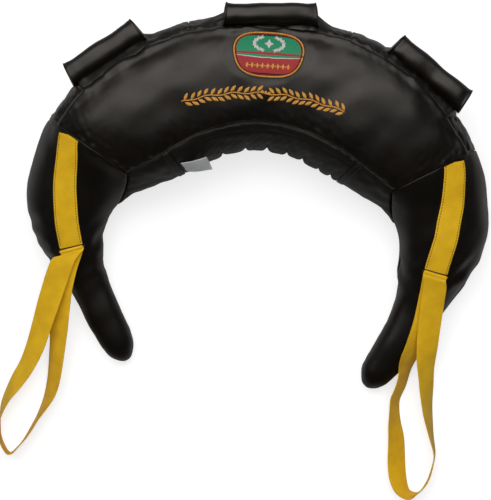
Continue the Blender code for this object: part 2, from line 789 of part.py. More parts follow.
def build_sewn_strap(name, side):
    """The length of webbing that is stitched down on the arm, from the cross seam to the tack."""
    clear_of_fold = math.degrees((FOLD_RADIUS + SEAT_GAP) / polar_of(*strap_plan(side, TACK_ANGLE))[1])
    rings = []
    for angle in spread(STRAP_START_ANGLE, TACK_ANGLE - clear_of_fold, STRAP_ROWS):
        middle = strap_plan(side, angle)
        down = strap_direction(side, angle)
        across = Vector((-down.y, down.x))
        columns = []
        for way in spread(-1, 1, STRAP_STEPS):
            place = walk_across(middle, across * way, WEBBING_WIDTH / 2) if way else middle
            point_angle, radius = polar_of(*place)
            if abs(point_angle) < STRAP_START_ANGLE:
                place = polar(side * STRAP_START_ANGLE, radius, 0).xy
            columns.append(place)
        top = [Vector((*p, front_height(*p, DRAPE_GAP + WEBBING))) for p in columns]
        bottom = [Vector((*p, front_height(*p, DRAPE_GAP))) for p in columns]
        rings.append(top + bottom[::-1])
    loft(f"{name}_strap", rings, webbing)


def loop_stations(side, shares, frame):
    """Places and width directions of a loop's webbing, out from the fold, round the bottom and back."""
    tack = strap_plan(side, TACK_ANGLE)
    fold_line = FOLD_INNER_RADIUS + WEBBING / 2
    along = frame.to_3x3() @ Vector((1, 0, 0))
    if along.x < 0:
        along.negate()
    leaving, coming = [], []
    for lead in (0, LOOP_LEAD):
        leaving.append(frame @ Vector((0, -lead, fold_line)))
        coming.append(frame @ Vector((0, -lead, -fold_line)))
    foot = Vector((*tack, 0))
    free = [foot + Vector(share[:3]) * LOOP_REACH for share in shares]
    rolls = [None, None] + [share[3] for share in shares] + [None, None]
    return leaving + free + coming[::-1], rolls, along


def catmull(points, i, t):
    """A point of the smooth curve through points, t of the way from point i to the next."""
    before, here, after, beyond = [points[min(max(i + n, 0), len(points) - 1)] for n in (-1, 0, 1, 2)]
    return 0.5 * (
        2 * here
        + (after - before) * t
        + (2 * before - 5 * here + 4 * after - beyond) * t**2
        + (3 * here - before - 3 * after + beyond) * t**3
    )


def width_direction(run, roll, along):
    """Direction across the webbing: level and square to its run, then rolled about the run."""
    if roll is None:
        return along
    flat = run.cross(Vector((0, 0, 1))).normalized()
    if flat.x < 0:
        flat.negate()
    tilt = math.radians(roll)
    rolled = flat * math.cos(tilt) + Vector((0, 0, math.sin(tilt)))
    return (rolled - run * rolled.dot(run)).normalized()


def rise_off_arm(point, clearance):
    """How far a point of free webbing has to rise to lie that far above the arm."""
    angle, radius = polar_of(*point.xy)
    if abs(angle) > tip_angle(angle):
        return 0
    centre, half_width, half_height, level = full_section(angle)
    off = abs(radius - centre) / (half_width + clearance)
    if off > 1:
        return 0
    top = level + (half_height + clearance) * (1 - off**FULLNESS) ** (1 / FULLNESS)
    return max(0, top - point.z)


def build_loop(name, side, shares):
    """The hand loop: one closed band that folds round the tack's thread.

    Its first run lies over its second one, and both lie over the arm."""
    frame = tack_frame(side)
    hinge = bpy.data.objects.new(f"{name}_loop_hinge", None)
    hinge.matrix_world = frame
    bag.objects.link(hinge)

    places, rolls, along = loop_stations(side, shares, frame)
    widths = []
    for i, (place, roll) in enumerate(zip(places, rolls)):
        run = (places[min(i + 1, len(places) - 1)] - places[max(i - 1, 0)]).normalized()
        askew = max(0, 1 - (place - frame.translation).length / LOOP_SKEW_LENGTH)
        widths.append(width_direction(run, roll, along).lerp(along, askew).normalized())
    points, directions = [], []
    for i in range(len(places) - 1):
        for step in range(LOOP_SPAN_STEPS):
            points.append(catmull(places, i, step / LOOP_SPAN_STEPS))
            directions.append(catmull(widths, i, step / LOOP_SPAN_STEPS).normalized())
    points.append(places[-1])
    directions.append(widths[-1])

    up_arm = frame.to_3x3() @ Vector((0, 1, 0))
    out = frame.to_3x3() @ Vector((0, 0, 1))
    fold_line = FOLD_INNER_RADIUS + WEBBING / 2
    for i in range(1, FOLD_STEPS):
        bend = math.pi * i / FOLD_STEPS
        from_axis = up_arm * math.sin(bend) - out * math.cos(bend)
        points.append(frame.translation + from_axis * fold_line)
        directions.append(along)

    to_local = frame.inverted()
    free = range(LOOP_SPAN_STEPS + 1, LOOP_SPAN_STEPS * (len(places) - 2))
    rings = []
    for i, (point, across) in enumerate(zip(points, directions)):
        run = points[(i + 1) % len(points)] - points[i - 1]
        face_step = run.cross(across).normalized() * WEBBING / 2
        columns = [point + across * WEBBING_WIDTH / 2 * way for way in spread(-1, 1, LOOP_COLUMNS)]
        corners = [column + face_step for column in columns]
        corners += [column - face_step for column in columns[::-1]]
        if i in free:
            clearance = LOOP_CLEARANCE + (LOOP_RUNS_APART if i < len(points) / 2 else 0)
            rise = max(rise_off_arm(corner, clearance) for corner in corners)
            corners = [corner + Vector((0, 0, rise)) for corner in corners]
        rings.append([to_local @ corner for corner in corners])
    loft(f"{name}_strap_loop", rings, webbing, hinge, closed=True)


def drop_to_leather(frame, x):
    """How far a thread at that place along the fold's axis goes down to seat on the leather."""
    near, far = 0, WEBBING_WIDTH / 2
    for _ in range(HALVINGS):
        middle = (near + far) / 2
        point = frame @ Vector((x, 0, -middle))
        if point.z > front_height(point.x, point.y, DRAPE_GAP + THREAD_RADIUS):
            near = middle
        else:
            far = middle
    return near


def build_tack_thread(name, side):
    """The thread that holds the fold: it lies in the fold and goes down into the leather at both edges."""
    frame = tack_frame(side)
    half = WEBBING_WIDTH / 2 + THREAD_OVERHANG
    path = [frame @ Vector((x, 0, 0)) for x in (-half, half)]
    feet = [frame @ Vector((x, 0, -drop_to_leather(frame, x))) for x in (-half, half)]
    curve = bpy.data.curves.new(f"{name}_tack_thread", "CURVE")
    curve.dimensions = "3D"
    curve.bevel_depth = THREAD_RADIUS
    curve.bevel_resolution = 1
    curve.use_fill_caps = True
    line = curve.splines.new("POLY")
    stops = [feet[0], *path, feet[1]]
    line.points.add(len(stops) - 1)
    for point, place in zip(line.points, stops):
        point.co = (*place, 1)
    add_made(bpy.data.objects.new(f"{name}_tack_thread", curve), thread)


def build_badge():
    """An oval patch draped on the front panel."""
    centre, half_width, _, _ = full_section(0)
    middle = centre + half_width * BADGE_PLACE_SHARE - ARCH_RISE
    rings = []
    for u in spread(-1, 1, BADGE_COLUMNS):
        row = []
        for v in spread(-1, 1, BADGE_ROWS):
            x = BADGE_WIDTH / 2 * u * math.sqrt(1 - v**2 / 2)
            y = BADGE_HEIGHT / 2 * v * math.sqrt(1 - u**2 / 2)
            row.append(Vector((x, middle + y, 0)))
        top = [Vector((p.x, p.y, front_height(p.x, p.y, DRAPE_GAP + BADGE))) for p in row]
        bottom = [Vector((p.x, p.y, front_height(p.x, p.y, DRAPE_GAP))) for p in row]
        rings.append(top + bottom[::-1])
    loft("front_badge", rings, patch)


def label_frame():
    """Matrix of the label's hinge: X along its sewn edge, Y the way it lies and Z off its face."""
    angle = HEM_ANGLE - LABEL_HEM_OFFSET_ANGLE
    high, low = [bag_point(angle, turn, 0) for turn in LABEL_TURNS]
    along = (low - high).normalized()
    a = math.radians(angle)
    to_crown = Vector((math.cos(a), math.sin(a), 0))
    inward = along.cross(to_crown).normalized()
    if inward.z < 0:
        inward.negate()
    middle = (high + low) / 2
    across = [bag_point(angle, turn, 0) for turn in spread(*LABEL_TURNS, LABEL_STEPS)]
    bulge = max((point - middle).dot(inward) for point in across)
    axis = middle + inward * (bulge + LABEL_STAND_OFF)
    spread_angle = math.radians(LABEL_SPREAD_ANGLE)
    lies = to_crown * math.cos(spread_angle) + inward * math.sin(spread_angle)
    face = along.cross(lies).normalized()
    turned = Matrix((along, lies, face)).transposed().to_4x4()
    return Matrix.Translation(axis) @ turned, (low - high).length


def build_label():
    frame, width = label_frame()
    hinge = bpy.data.objects.new("label_hinge", None)
    hinge.matrix_world = frame
    bag.objects.link(hinge)
    rings = []
    for reach in spread(LABEL_ROOT, LABEL_LENGTH, LABEL_STEPS):
        twist = math.radians(LABEL_TWIST_ANGLE * reach / LABEL_LENGTH)
        turned = Matrix.Rotation(twist, 3, "Y")
        corners = ((-width, -LABEL), (width, -LABEL), (width, LABEL), (-width, LABEL))
        rings.append([turned @ Vector((x / 2, 0, z / 2)) + Vector((0, reach, 0)) for x, z in corners])
    loft("care_label", rings, satin, hinge)


clear_scene()
bag = bpy.data.collections.new("bulgarian_bag")
bpy.context.scene.collection.children.link(bag)

leather = material("black leather", (0.022, 0.020, 0.018), 0.42)
lining = material("black lining leather", (0.030, 0.030, 0.030), 0.55)
wool = material("wool felt", (0.55, 0.52, 0.46), 0.95)
canvas = material("sand pouch canvas", (0.45, 0.40, 0.30), 0.90)
sand = material("sand", (0.62, 0.50, 0.33), 0.95)
rubber = material("grip rubber", (0.05, 0.05, 0.05), 0.80)
elastic = material("neck elastic", (0.03, 0.03, 0.03), 0.85)
foam = material("handle core foam", (0.20, 0.20, 0.21), 0.90)
webbing = material("yellow webbing", (0.70, 0.42, 0.02), 0.65)
thread = material("brown thread", (0.09, 0.05, 0.02), 0.70)
patch = material("badge embroidery", (0.02, 0.22, 0.12), 0.70)
satin = material("label satin", (0.60, 0.62, 0.63), 0.50)

build_crown_leather()
build_inner_gussets()
build_arm_leather()
build_wadding()
build_sand()
build_arm_filling()
for handle in HANDLES:
    build_handle(*handle)
for side_name, side_sign in SIDES:
    build_sewn_strap(side_name, side_sign)
    build_tack_thread(side_name, side_sign)
build_loop("left", 1, LEFT_LOOP_SHARES)
build_loop("right", -1, RIGHT_LOOP_SHARES)
build_badge()
build_label()
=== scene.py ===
"""The looks of the bulgarian bag: leather, webbing, stitching, badge and light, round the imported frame.

Lengths are metres and angles are degrees. The plan of the bag is polar about the arch axis, as in its
construction: the angle runs from the crown to the tips, positive to the left, and the turn runs round the
section from the outer edge (0) over the front (90) to the inner edge (180).
"""
import json
import math

import bmesh
import bpy
import numpy as np
from mathutils import Matrix, Vector
from mathutils.bvhtree import BVHTree


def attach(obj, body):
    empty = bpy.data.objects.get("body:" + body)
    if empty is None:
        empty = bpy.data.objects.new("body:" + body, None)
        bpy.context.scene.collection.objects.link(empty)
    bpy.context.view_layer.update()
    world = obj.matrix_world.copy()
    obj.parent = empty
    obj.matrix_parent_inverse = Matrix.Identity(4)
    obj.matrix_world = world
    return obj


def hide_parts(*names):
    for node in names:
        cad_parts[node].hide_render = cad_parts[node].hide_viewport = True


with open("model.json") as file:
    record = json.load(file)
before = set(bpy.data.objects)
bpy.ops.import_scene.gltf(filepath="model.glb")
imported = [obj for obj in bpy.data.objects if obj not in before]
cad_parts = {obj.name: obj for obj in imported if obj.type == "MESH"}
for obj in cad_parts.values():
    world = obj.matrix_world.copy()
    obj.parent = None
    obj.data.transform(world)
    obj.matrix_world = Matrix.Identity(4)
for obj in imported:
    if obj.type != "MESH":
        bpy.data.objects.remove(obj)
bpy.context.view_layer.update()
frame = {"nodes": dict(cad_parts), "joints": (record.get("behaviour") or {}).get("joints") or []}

# Plan of the bag: angle, inner radius and outer radius in shares of the crown's outer radius
CROWN_OUTER_RADIUS = 0.333
LEFT_PLAN_SHARES = (
    (0, 0.437, 0.984),
    (10, 0.436, 0.986),
    (20, 0.436, 0.990),
    (30, 0.437, 0.998),
    (40, 0.441, 1.004),
    (50, 0.459, 1.006),
    (60, 0.517, 1.003),
    (65, 0.560, 0.991),
    (70, 0.593, 0.978),
    (75, 0.614, 0.966),
    (80, 0.624, 0.947),
    (85, 0.627, 0.919),
    (90, 0.624, 0.879),
    (95, 0.620, 0.830),
    (100, 0.611, 0.793),
    (105, 0.603, 0.764),
    (110, 0.596, 0.745),
    (120, 0.592, 0.726),
    (128, 0.607, 0.718),
    (133, 0.622, 0.712),
)
RIGHT_PLAN_SHARES = (
    (0, 0.437, 0.984),
    (10, 0.437, 0.988),
    (20, 0.440, 0.998),
    (30, 0.444, 1.004),
    (40, 0.455, 1.005),
    (50, 0.479, 1.004),
    (60, 0.527, 0.996),
    (65, 0.560, 0.995),
    (70, 0.585, 0.983),
    (75, 0.595, 0.970),
    (80, 0.601, 0.959),
    (85, 0.600, 0.930),
    (90, 0.599, 0.893),
    (95, 0.600, 0.853),
    (100, 0.604, 0.815),
    (105, 0.605, 0.792),
    (110, 0.606, 0.777),
    (120, 0.610, 0.757),
    (128, 0.627, 0.750),
    (135, 0.648, 0.744),
)
LEFT_TIP_ANGLE = 132.4
RIGHT_TIP_ANGLE = 134.6
TIP_ANGLES = {1: LEFT_TIP_ANGLE, -1: RIGHT_TIP_ANGLE}
TIP_ROUND = 0.022
THICKNESS_SHARES = (
    (-135, 0.97),
    (-110, 0.96),
    (-90, 0.90),
    (-60, 0.84),
    (0, 0.80),
    (60, 0.84),
    (90, 0.90),
    (110, 0.96),
    (133, 0.97),
)
BED_SHARE = 0.93
FULLNESS = 2.25

# Seams between the panels
SEAM_GAP = 0.0003
ARM_SEAM_ANGLE = 60
OUTER_SEAM_TURN = 37
INNER_SEAM_TURN = 126
HANDLE_SEAM_ANGLE = 19.5
HEM_ANGLE = 43
GUSSET_END_ANGLE = 72.5
GRIP_ANGLE = 101

# Rolled handles. Section from the hinge at rest: outwards, up, half width and half height. Then both ends
# along the handle, and its toe angle
HANDLE_ANGLE = 39.6
HANDLE_SHAPES = {
    "left": (0.0025, 0.0160, 0.0155, 0.0150, -0.0595, 0.0525, -2.3),
    "center": (-0.0022, 0.0165, 0.0142, 0.0150, -0.0625, 0.0615, 4.0),
    "right": (0.0040, 0.0160, 0.0155, 0.0150, -0.0600, 0.0610, 4.0),
}
HANDLE_OVERHANG = 0.016
HANDLE_FLARE = 0.0015
HANDLE_RIM = 0.0010
HANDLE_SQUARENESS = 2.8
HANDLE_TILT_ANGLE = 9
HANDLE_CLEARANCE = 0.0012
# Leather that carries a handle: root's height share, front foot's turn, fillet's reach, sweeps past both ends
SKIRTS = {
    "left": (0.235, 43, 17, 0.014, 0.026),
    "center": (0.40, 46, 13, 0.050, 0.042),
    "right": (0.235, 41, 16, 0.024, 0.012),
}
WELT_REACH = 0.003
SKIRT_SKIN = 0.0012

# Webbing straps
WEBBING_WIDTH = 0.032
WEBBING = 0.0016
DRAPE_GAP = 0.0006
THREAD_RADIUS = 0.00045
STRAP_START_ANGLE = 60.4
TACK_ANGLE = 91
STRAP_PATH_SHARES = (
    (56, 0.60),
    (61, 0.51),
    (66, 0.34),
    (70.5, 0.21),
    (78.5, 0.0),
    (87, -0.08),
    (91, -0.05),
    (94, -0.03),
)
TACK_SETBACK = 0.0011
STRAP_SEAM_SHARE = 0.84
STITCH_LIFT = 0.0001
FOLD_INNER_RADIUS = THREAD_RADIUS + 0.0003
FOLD_RADIUS = FOLD_INNER_RADIUS + WEBBING

# Hand loops: plan offset from the tack and height, in shares of the loop's reach, and roll of the webbing
LOOP_REACH = 0.300
LEFT_LOOP_SHARES = (
    (-0.029, -0.047, 0.242, 2),
    (-0.049, -0.098, 0.228, 4),
    (-0.083, -0.220, 0.187, 15),
    (-0.116, -0.347, 0.148, 27),
    (-0.143, -0.452, 0.122, 36),
    (-0.179, -0.550, 0.100, 43),
    (-0.222, -0.626, 0.084, 53),
    (-0.257, -0.687, 0.069, 65),
    (-0.279, -0.748, 0.059, 75),
    (-0.288, -0.816, 0.0545, 86),
    (-0.280, -0.893, 0.0538, 89),
    (-0.238, -0.957, 0.0538, 89),
    (-0.200, -0.927, 0.0538, 88),
    (-0.163, -0.875, 0.0538, 84),
    (-0.123, -0.800, 0.0545, 80),
    (-0.099, -0.753, 0.0565, 72),
    (-0.079, -0.706, 0.060, 65),
    (-0.063, -0.655, 0.066, 58),
    (-0.052, -0.591, 0.077, 53),
    (-0.046, -0.505, 0.092, 48),
    (-0.043, -0.427, 0.109, 44),
    (-0.043, -0.346, 0.130, 34),
    (-0.043, -0.256, 0.155, 24),
    (-0.037, -0.166, 0.184, 15),
    (-0.022, -0.085, 0.214, 7),
)
RIGHT_LOOP_SHARES = (
    (0.002, -0.056, 0.264, -6),
    (0.000, -0.115, 0.243, -8),
    (-0.004, -0.237, 0.202, -14),
    (-0.005, -0.373, 0.161, -30),
    (0.003, -0.463, 0.134, -45),
    (0.014, -0.553, 0.112, -55),
    (0.027, -0.642, 0.091, -64),
    (0.050, -0.731, 0.074, -73),
    (0.067, -0.797, 0.062, -83),
    (0.072, -0.843, 0.057, -87),
    (0.062, -0.911, 0.0545, -88),
    (0.043, -0.963, 0.0542, -87),
    (0.013, -1.005, 0.0550, -84),
    (-0.028, -1.022, 0.0530, -72),
    (-0.065, -0.998, 0.0475, -55),
    (-0.086, -0.945, 0.0415, -43),
    (-0.096, -0.878, 0.036, -38),
    (-0.102, -0.820, 0.037, -40),
    (-0.108, -0.757, 0.041, -45),
    (-0.118, -0.698, 0.046, -53),
    (-0.124, -0.635, 0.050, -60),
    (-0.123, -0.586, 0.053, -63),
    (-0.106, -0.532, 0.060, -63),
    (-0.092, -0.464, 0.079, -60),
    (-0.082, -0.400, 0.110, -50),
    (-0.053, -0.312, 0.153, -36),
    (-0.026, -0.211, 0.188, -23),
    (-0.012, -0.120, 0.221, -12),
    (-0.006, -0.060, 0.250, -6),
)
LOOP_LEAD = 0.004
LOOP_CLEARANCE = 0.0030
LOOP_RUNS_APART = WEBBING + 2 * FOLD_INNER_RADIUS
LOOP_SKEW_LENGTH = 0.05

# Badge, branch and label. A leaf's lean from the branch is in radians
BRANCH_RADIUS = 0.2176
LEAF_LEAN = 0.72
BADGE_WIDTH = 0.094
BADGE_HEIGHT = 0.058
BADGE_PLACE_SHARE = 0.36
BADGE_FIELD = 0.0004
BEAD_PITCH = 0.0068
LABEL_LENGTH = 0.036
LABEL = 0.0008
LABEL_TURNS = (146, 168)
LABEL_HEM_OFFSET_ANGLE = 1.2
LABEL_LIES = (0.9559, 0.2032, 0.2121)
LABEL_TWIST_ANGLE = -14

# Looks of the leather
SKIN = 0.0018
GROOVE = 0.0024
GROOVE_WIDTH = 0.0034
PILLOW = 0.0012
PILLOW_REACH = 0.010
PUCKER_RISE = 0.0005
PUCKER_PITCH = 0.011
PUCKER_FADE = 0.012
HEM_ROWS = (0.0022, 0.0068)
ARM_GATHERING = 0.30
GATHERED_SKIN = 0.0012
# The straps and the badge press the leather in, and the loops' folds press it further
PRESS = 0.0003
FOLD_PRESS = 0.0006
PLEAT_ANGLES = (36.5, 30.6, 20.5, 8.6, -2.7, -13.4, -22.1, -31.8, -38.7)

# Filling: depth under the smooth surface, and thickness of its layers
FELT_DEPTH = 0.0072
FELT = 0.002
ELASTIC_DEPTH = 0.0066
ELASTIC = 0.0009
WOOL_DEPTH = 0.0062
GRIP_CORE_DEPTH = 0.0055
# Tapes behind the seams: lift from the smooth surface, and thickness
TAPES = {
    "cross": (-0.0007, 0.0016),
    "outer": (-0.0038, 0.0026),
    "inner": (-0.0027, 0.0012),
    "arm": (-0.0026, 0.0012),
}
# Stitches: length, gap between two (below 0 they overlap) and radius of the thread
STITCHES = {
    "hem": (0.0032, 0.0013, 0.0004),
    "strap": (0.0030, 0.0010, 0.00052),
    "tack": (0.0032, 0.0002, 0.0006),
    "rope": (0.0030, -0.0012, 0.0010),
    "inner_rope": (0.0030, -0.0012, 0.00045),
    "stem": (0.0046, -0.0018, 0.0007),
}
# Embroidered leaves: length, width and height
LEAVES = {
    "spray": (0.0085, 0.0030, 0.0006),
    "star": (0.013, 0.0056, 0.0007),
    "star_arm": (0.013, 0.0050, 0.0007),
    "bead": (0.0078, 0.0036, 0.0006),
    "link": (0.0040, 0.0018, 0.0005),
    "branch": (0.0112, 0.0044, 0.0009),
    "bud": (0.0052, 0.0044, 0.0010),
}

# Meshes and weave
SHARP_ANGLE = 60
MERGE_DISTANCE = 0.00001
WEFT_PITCH = 0.0013
WARP_PITCH = 0.0011
# Along a stitch: place from -1 to 1, width and dip in shares of its radius
STITCH_STATIONS = (
    (-1, 0.25, -0.9), (-0.85, 0.75, -0.35), (-0.45, 1, 0), (0.45, 1, 0), (0.85, 0.75, -0.35), (1, 0.25, -0.9),
)

SIDES = (("left", 1), ("right", -1))
HANDLES = (("left", HANDLE_ANGLE), ("center", 0), ("right", -HANDLE_ANGLE))


def table_value(rows, key, column):
    """A smooth curve through one column of a table whose first column is the key."""
    last = len(rows) - 1
    i = next((n for n in range(last) if key <= rows[n + 1][0]), last - 1)

    def slope(n):
        steps = [m for m in (n - 1, n) if 0 <= m < last]
        rises = [(rows[m + 1][column] - rows[m][column]) / (rows[m + 1][0] - rows[m][0]) for m in steps]
        return sum(rises) / len(rises)

    run = rows[i + 1][0] - rows[i][0]
    t = (key - rows[i][0]) / run
    low, high = rows[i][column], rows[i + 1][column]
    rise_start, rise_end = slope(i) * run, slope(i + 1) * run
    return (
        (2 * t**3 - 3 * t**2 + 1) * low
        + (t**3 - 2 * t**2 + t) * rise_start
        + (3 * t**2 - 2 * t**3) * high
        + (t**3 - t**2) * rise_end
    )


MIRRORED_PLAN_SHARES = tuple((-angle, inner, outer) for angle, inner, outer in RIGHT_PLAN_SHARES[:0:-1])
PLAN_SHARES = MIRRORED_PLAN_SHARES + LEFT_PLAN_SHARES
ARCH_RISE = CROWN_OUTER_RADIUS * (LEFT_PLAN_SHARES[0][1] + LEFT_PLAN_SHARES[0][2]) / 2


def full_section(angle):
    """Centre radius, half width, half height and centre height of the bag, before its tips are rounded."""
    inner = CROWN_OUTER_RADIUS * table_value(PLAN_SHARES, angle, 1)
    outer = CROWN_OUTER_RADIUS * table_value(PLAN_SHARES, angle, 2)
    half_width = (outer - inner) / 2
    half_height = half_width * table_value(THICKNESS_SHARES, angle, 1)
    return (inner + outer) / 2, half_width, half_height, BED_SHARE * half_height


FINE_ANGLES = np.linspace(-RIGHT_TIP_ANGLE, LEFT_TIP_ANGLE, 1200)
FINE_SECTIONS = np.array([full_section(angle) for angle in FINE_ANGLES])


def sections(angles):
    """Centre radius, half width, half height and centre height at each angle."""
    return [np.interp(angles, FINE_ANGLES, column) for column in FINE_SECTIONS.T]


def signed_power(value):
    return np.sign(value) * np.abs(value) ** (2 / FULLNESS)


def polar(angles, radii, heights):
    """Points at those angles and radii about the arch axis."""
    a = np.radians(angles)
    x, y, z = np.broadcast_arrays(-radii * np.sin(a), radii * np.cos(a) - ARCH_RISE, heights)
    return np.stack([x, y, z], -1)


def polar_of(points):
    """The angle and radius of plan positions."""
    x, y = points[..., 0], points[..., 1] + ARCH_RISE
    return np.degrees(np.arctan2(-x, y)), np.hypot(x, y)


def tip_scale(angles, centre):
    """How much of the section is left where the tip rounds off."""
    left = np.radians(np.where(angles > 0, LEFT_TIP_ANGLE, RIGHT_TIP_ANGLE) - np.abs(angles)) * centre
    short = np.clip(1 - left / TIP_ROUND, 0, 1)
    return np.sqrt(np.maximum(1 - short**2, 0))


def skin(angles, turns, lift=0):
    """Points of the bag's smooth surface, raised by lift, for ring angles and the turns of each ring."""
    angles = np.asarray(angles, float)
    if angles.ndim == 1:
        angles = angles[:, None]
    centre, half_width, half_height, level = sections(angles)
    scale = tip_scale(angles, centre)
    t = np.radians(turns)
    radii = centre + (half_width * scale + lift) * signed_power(np.cos(t))
    heights = level + (half_height * scale + lift) * signed_power(np.sin(t))
    return polar(angles, radii, np.maximum(heights, 0))


def front_height(points, lift):
    """Height of the front surface, raised by lift, over plan positions."""
    angles, radii = polar_of(points)
    centre, half_width, half_height, level = sections(angles)
    off = np.minimum(1, np.abs(radii - centre) / (half_width + lift))
    return level + (half_height + lift) * (1 - off**FULLNESS) ** (1 / FULLNESS)


def waves(points, length, seed, count=10):
    """A smooth uneven field of about unit size, whose swells are about that long."""
    draw = np.random.default_rng(seed)
    headings = draw.normal(size=(count, 3))
    headings /= np.linalg.norm(headings, axis=1)[:, None]
    pitch = 2 * math.pi / (length * draw.uniform(0.7, 1.5, count))
    phase = draw.uniform(0, 2 * math.pi, count)
    return np.sin(points @ (headings * pitch[:, None]).T + phase).sum(-1) * math.sqrt(2 / count)


def smooth(value):
    """Runs from 0 to 1 with level ends."""
    value = np.clip(value, 0, 1)
    return value * value * (3 - 2 * value)


def bell(offset, width):
    """1 where there is no offset, falling away on both sides over that width."""
    return np.exp(-((offset / width) ** 2))


def unit(vectors):
    return vectors / np.maximum(np.linalg.norm(vectors, axis=-1, keepdims=True), 1e-12)


def crowd(count):
    """Shares from 0 to 1 that lie closer together near both ends."""
    even = np.linspace(0, 1, count)
    return 0.45 * even + 0.55 * (0.5 - 0.5 * np.cos(math.pi * even))


def lengths_along(grid, axis):
    """Distance from the first row or column of a grid of points, along each line of it."""
    steps = np.linalg.norm(np.diff(grid, axis=axis), axis=-1)
    start = np.zeros_like(np.take(steps, [0], axis=axis))
    return np.cumsum(np.concatenate([start, steps], axis=axis), axis=axis)


def grid_normals(grid, centres):
    """Normals of a grid of points, away from the centres."""
    normals = unit(np.cross(np.gradient(grid, axis=0), np.gradient(grid, axis=1)))
    away = np.sum(normals * (grid - centres), -1)
    return normals * (1 if away.mean() > 0 else -1)


def grid_faces(rows, columns, wrap, flip=False):
    """Corners (row and column) and point numbers of the quads between a grid's points."""
    i, j = np.meshgrid(np.arange(rows - (not wrap[0])), np.arange(columns - (not wrap[1])), indexing="ij")
    i, j = i.ravel(), j.ravel()
    corners = [(i, j), (i + 1, j), (i + 1, j + 1), (i, j + 1)]
    if flip:
        corners = corners[::-1]
    return corners, np.stack([(a % rows) * columns + b % columns for a, b in corners], -1)


def add_grid(name, grid, finish, wrap=(False, False), flip=False, caps=False):
    """An object of quads through a grid of points, with a map in metres across (U) and along (V)."""
    rows, columns = grid.shape[:2]
    corners, faces = grid_faces(rows, columns, wrap, flip)
    along = lengths_along(np.concatenate([grid, grid[:1]]), 0).mean(1)
    across = lengths_along(np.concatenate([grid, grid[:, :1]], axis=1), 1).mean(0)
    uv = np.stack([np.stack([across[b], along[a]], -1) for a, b in corners], 1)
    polygons = faces.tolist()
    if caps:
        polygons += [list(range(columns)), list(range((rows - 1) * columns, rows * columns))]
    data = new_mesh(name, grid.reshape(-1, 3), polygons)
    flat = np.zeros((len(data.loops), 2), np.float32)
    flat[:len(faces) * 4] = uv.reshape(-1, 2)
    data.uv_layers.new(name="metres").data.foreach_set("uv", flat.ravel())
    return finish_object(name, data, finish)


def new_mesh(name, points, polygons):
    data = bpy.data.meshes.new(name)
    data.from_pydata(points.tolist(), [], polygons)
    return data


def finish_object(name, data, finish):
    data.materials.append(finish)
    data.shade_smooth()
    data.set_sharp_from_angle(angle=math.radians(SHARP_ANGLE))
    made = bpy.data.objects.new(name, data)
    bpy.context.scene.collection.objects.link(made)
    return made


def merge(made, distance=MERGE_DISTANCE):
    """Welds coincident points and turns all faces outwards."""
    mesh = bmesh.new()
    mesh.from_mesh(made.data)
    bmesh.ops.remove_doubles(mesh, verts=mesh.verts, dist=distance)
    bmesh.ops.recalc_face_normals(mesh, faces=mesh.faces)
    mesh.to_mesh(made.data)
    mesh.free()
    made.data.shade_smooth()
    return made


def add_closed(name, grid, finish, distance=MERGE_DISTANCE):
    """A closed object round a grid whose rows are rings."""
    return merge(add_grid(name, grid, finish, wrap=(False, True), caps=True), distance)


def add_band(name, top, bottom, finish):
    """A closed object between two grids of points, one over the other."""
    return add_closed(name, np.concatenate([top, bottom[:, ::-1]], 1), finish)


def thicken(made, thickness):
    """Gives an open surface its thickness on its inner side."""
    shell = made.modifiers.new("thickness", "SOLIDIFY")
    shell.thickness = thickness
    shell.offset = -1
    return made


def settle(made, body, nodes=()):
    """Puts a piece on its body and hides the nodes that it stands for."""
    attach(made, body)
    if nodes:
        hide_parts(*nodes)
    return made


def joint(name):
    return next(found for found in frame["joints"] if found["name"] == name)


# Materials


class Nodes:
    """A material's node tree with short calls for its nodes and links."""

    def __init__(self, name):
        self.material = bpy.data.materials.new(name)
        self.material.use_nodes = True
        self.tree = self.material.node_tree

    def put(self, socket, value):
        """Links a value that comes from another node, and sets any other on the socket."""
        if isinstance(value, bpy.types.NodeSocket):
            self.tree.links.new(value, socket)
        elif value is not None:
            socket.default_value = value

    def add(self, kind, settings=None, **inputs):
        node = self.tree.nodes.new("ShaderNode" + kind)
        for key, value in (settings or {}).items():
            setattr(node, key, value)
        for key, value in inputs.items():
            self.put(node.inputs[key.replace("_", " ")], value)
        return node

    def finish(self, **inputs):
        for key, value in inputs.items():
            self.put(self.tree.nodes["Principled BSDF"].inputs[key.replace("_", " ")], value)
        return self.material

    def coordinates(self, kind="Object"):
        return self.add("TexCoord").outputs[kind]

    def math(self, operation, *values):
        node = self.add("Math", {"operation": operation})
        for socket, value in zip(node.inputs, values):
            self.put(socket, value)
        return node.outputs[0]

    def noise(self, vector, scale, detail=3, roughness=0.5):
        node = self.add("TexNoise", Vector=vector, Scale=scale, Detail=detail, Roughness=roughness)
        return node.outputs["Fac"]

    def ramp(self, factor, *stops):
        node = self.add("ValToRGB", Fac=factor)
        for element, (place, colour) in zip(node.color_ramp.elements, stops):
            element.position = place
            element.color = (*colour, 1)
        return node.outputs["Color"]

    def range(self, value, low, high, to_low, to_high):
        node = self.add("MapRange", Value=value, From_Min=low, From_Max=high, To_Min=to_low, To_Max=to_high)
        return node.outputs["Result"]

    def bump(self, height, strength, distance, normal=None):
        node = self.add("Bump", Height=height, Strength=strength, Distance=distance, Normal=normal)
        return node.outputs["Normal"]


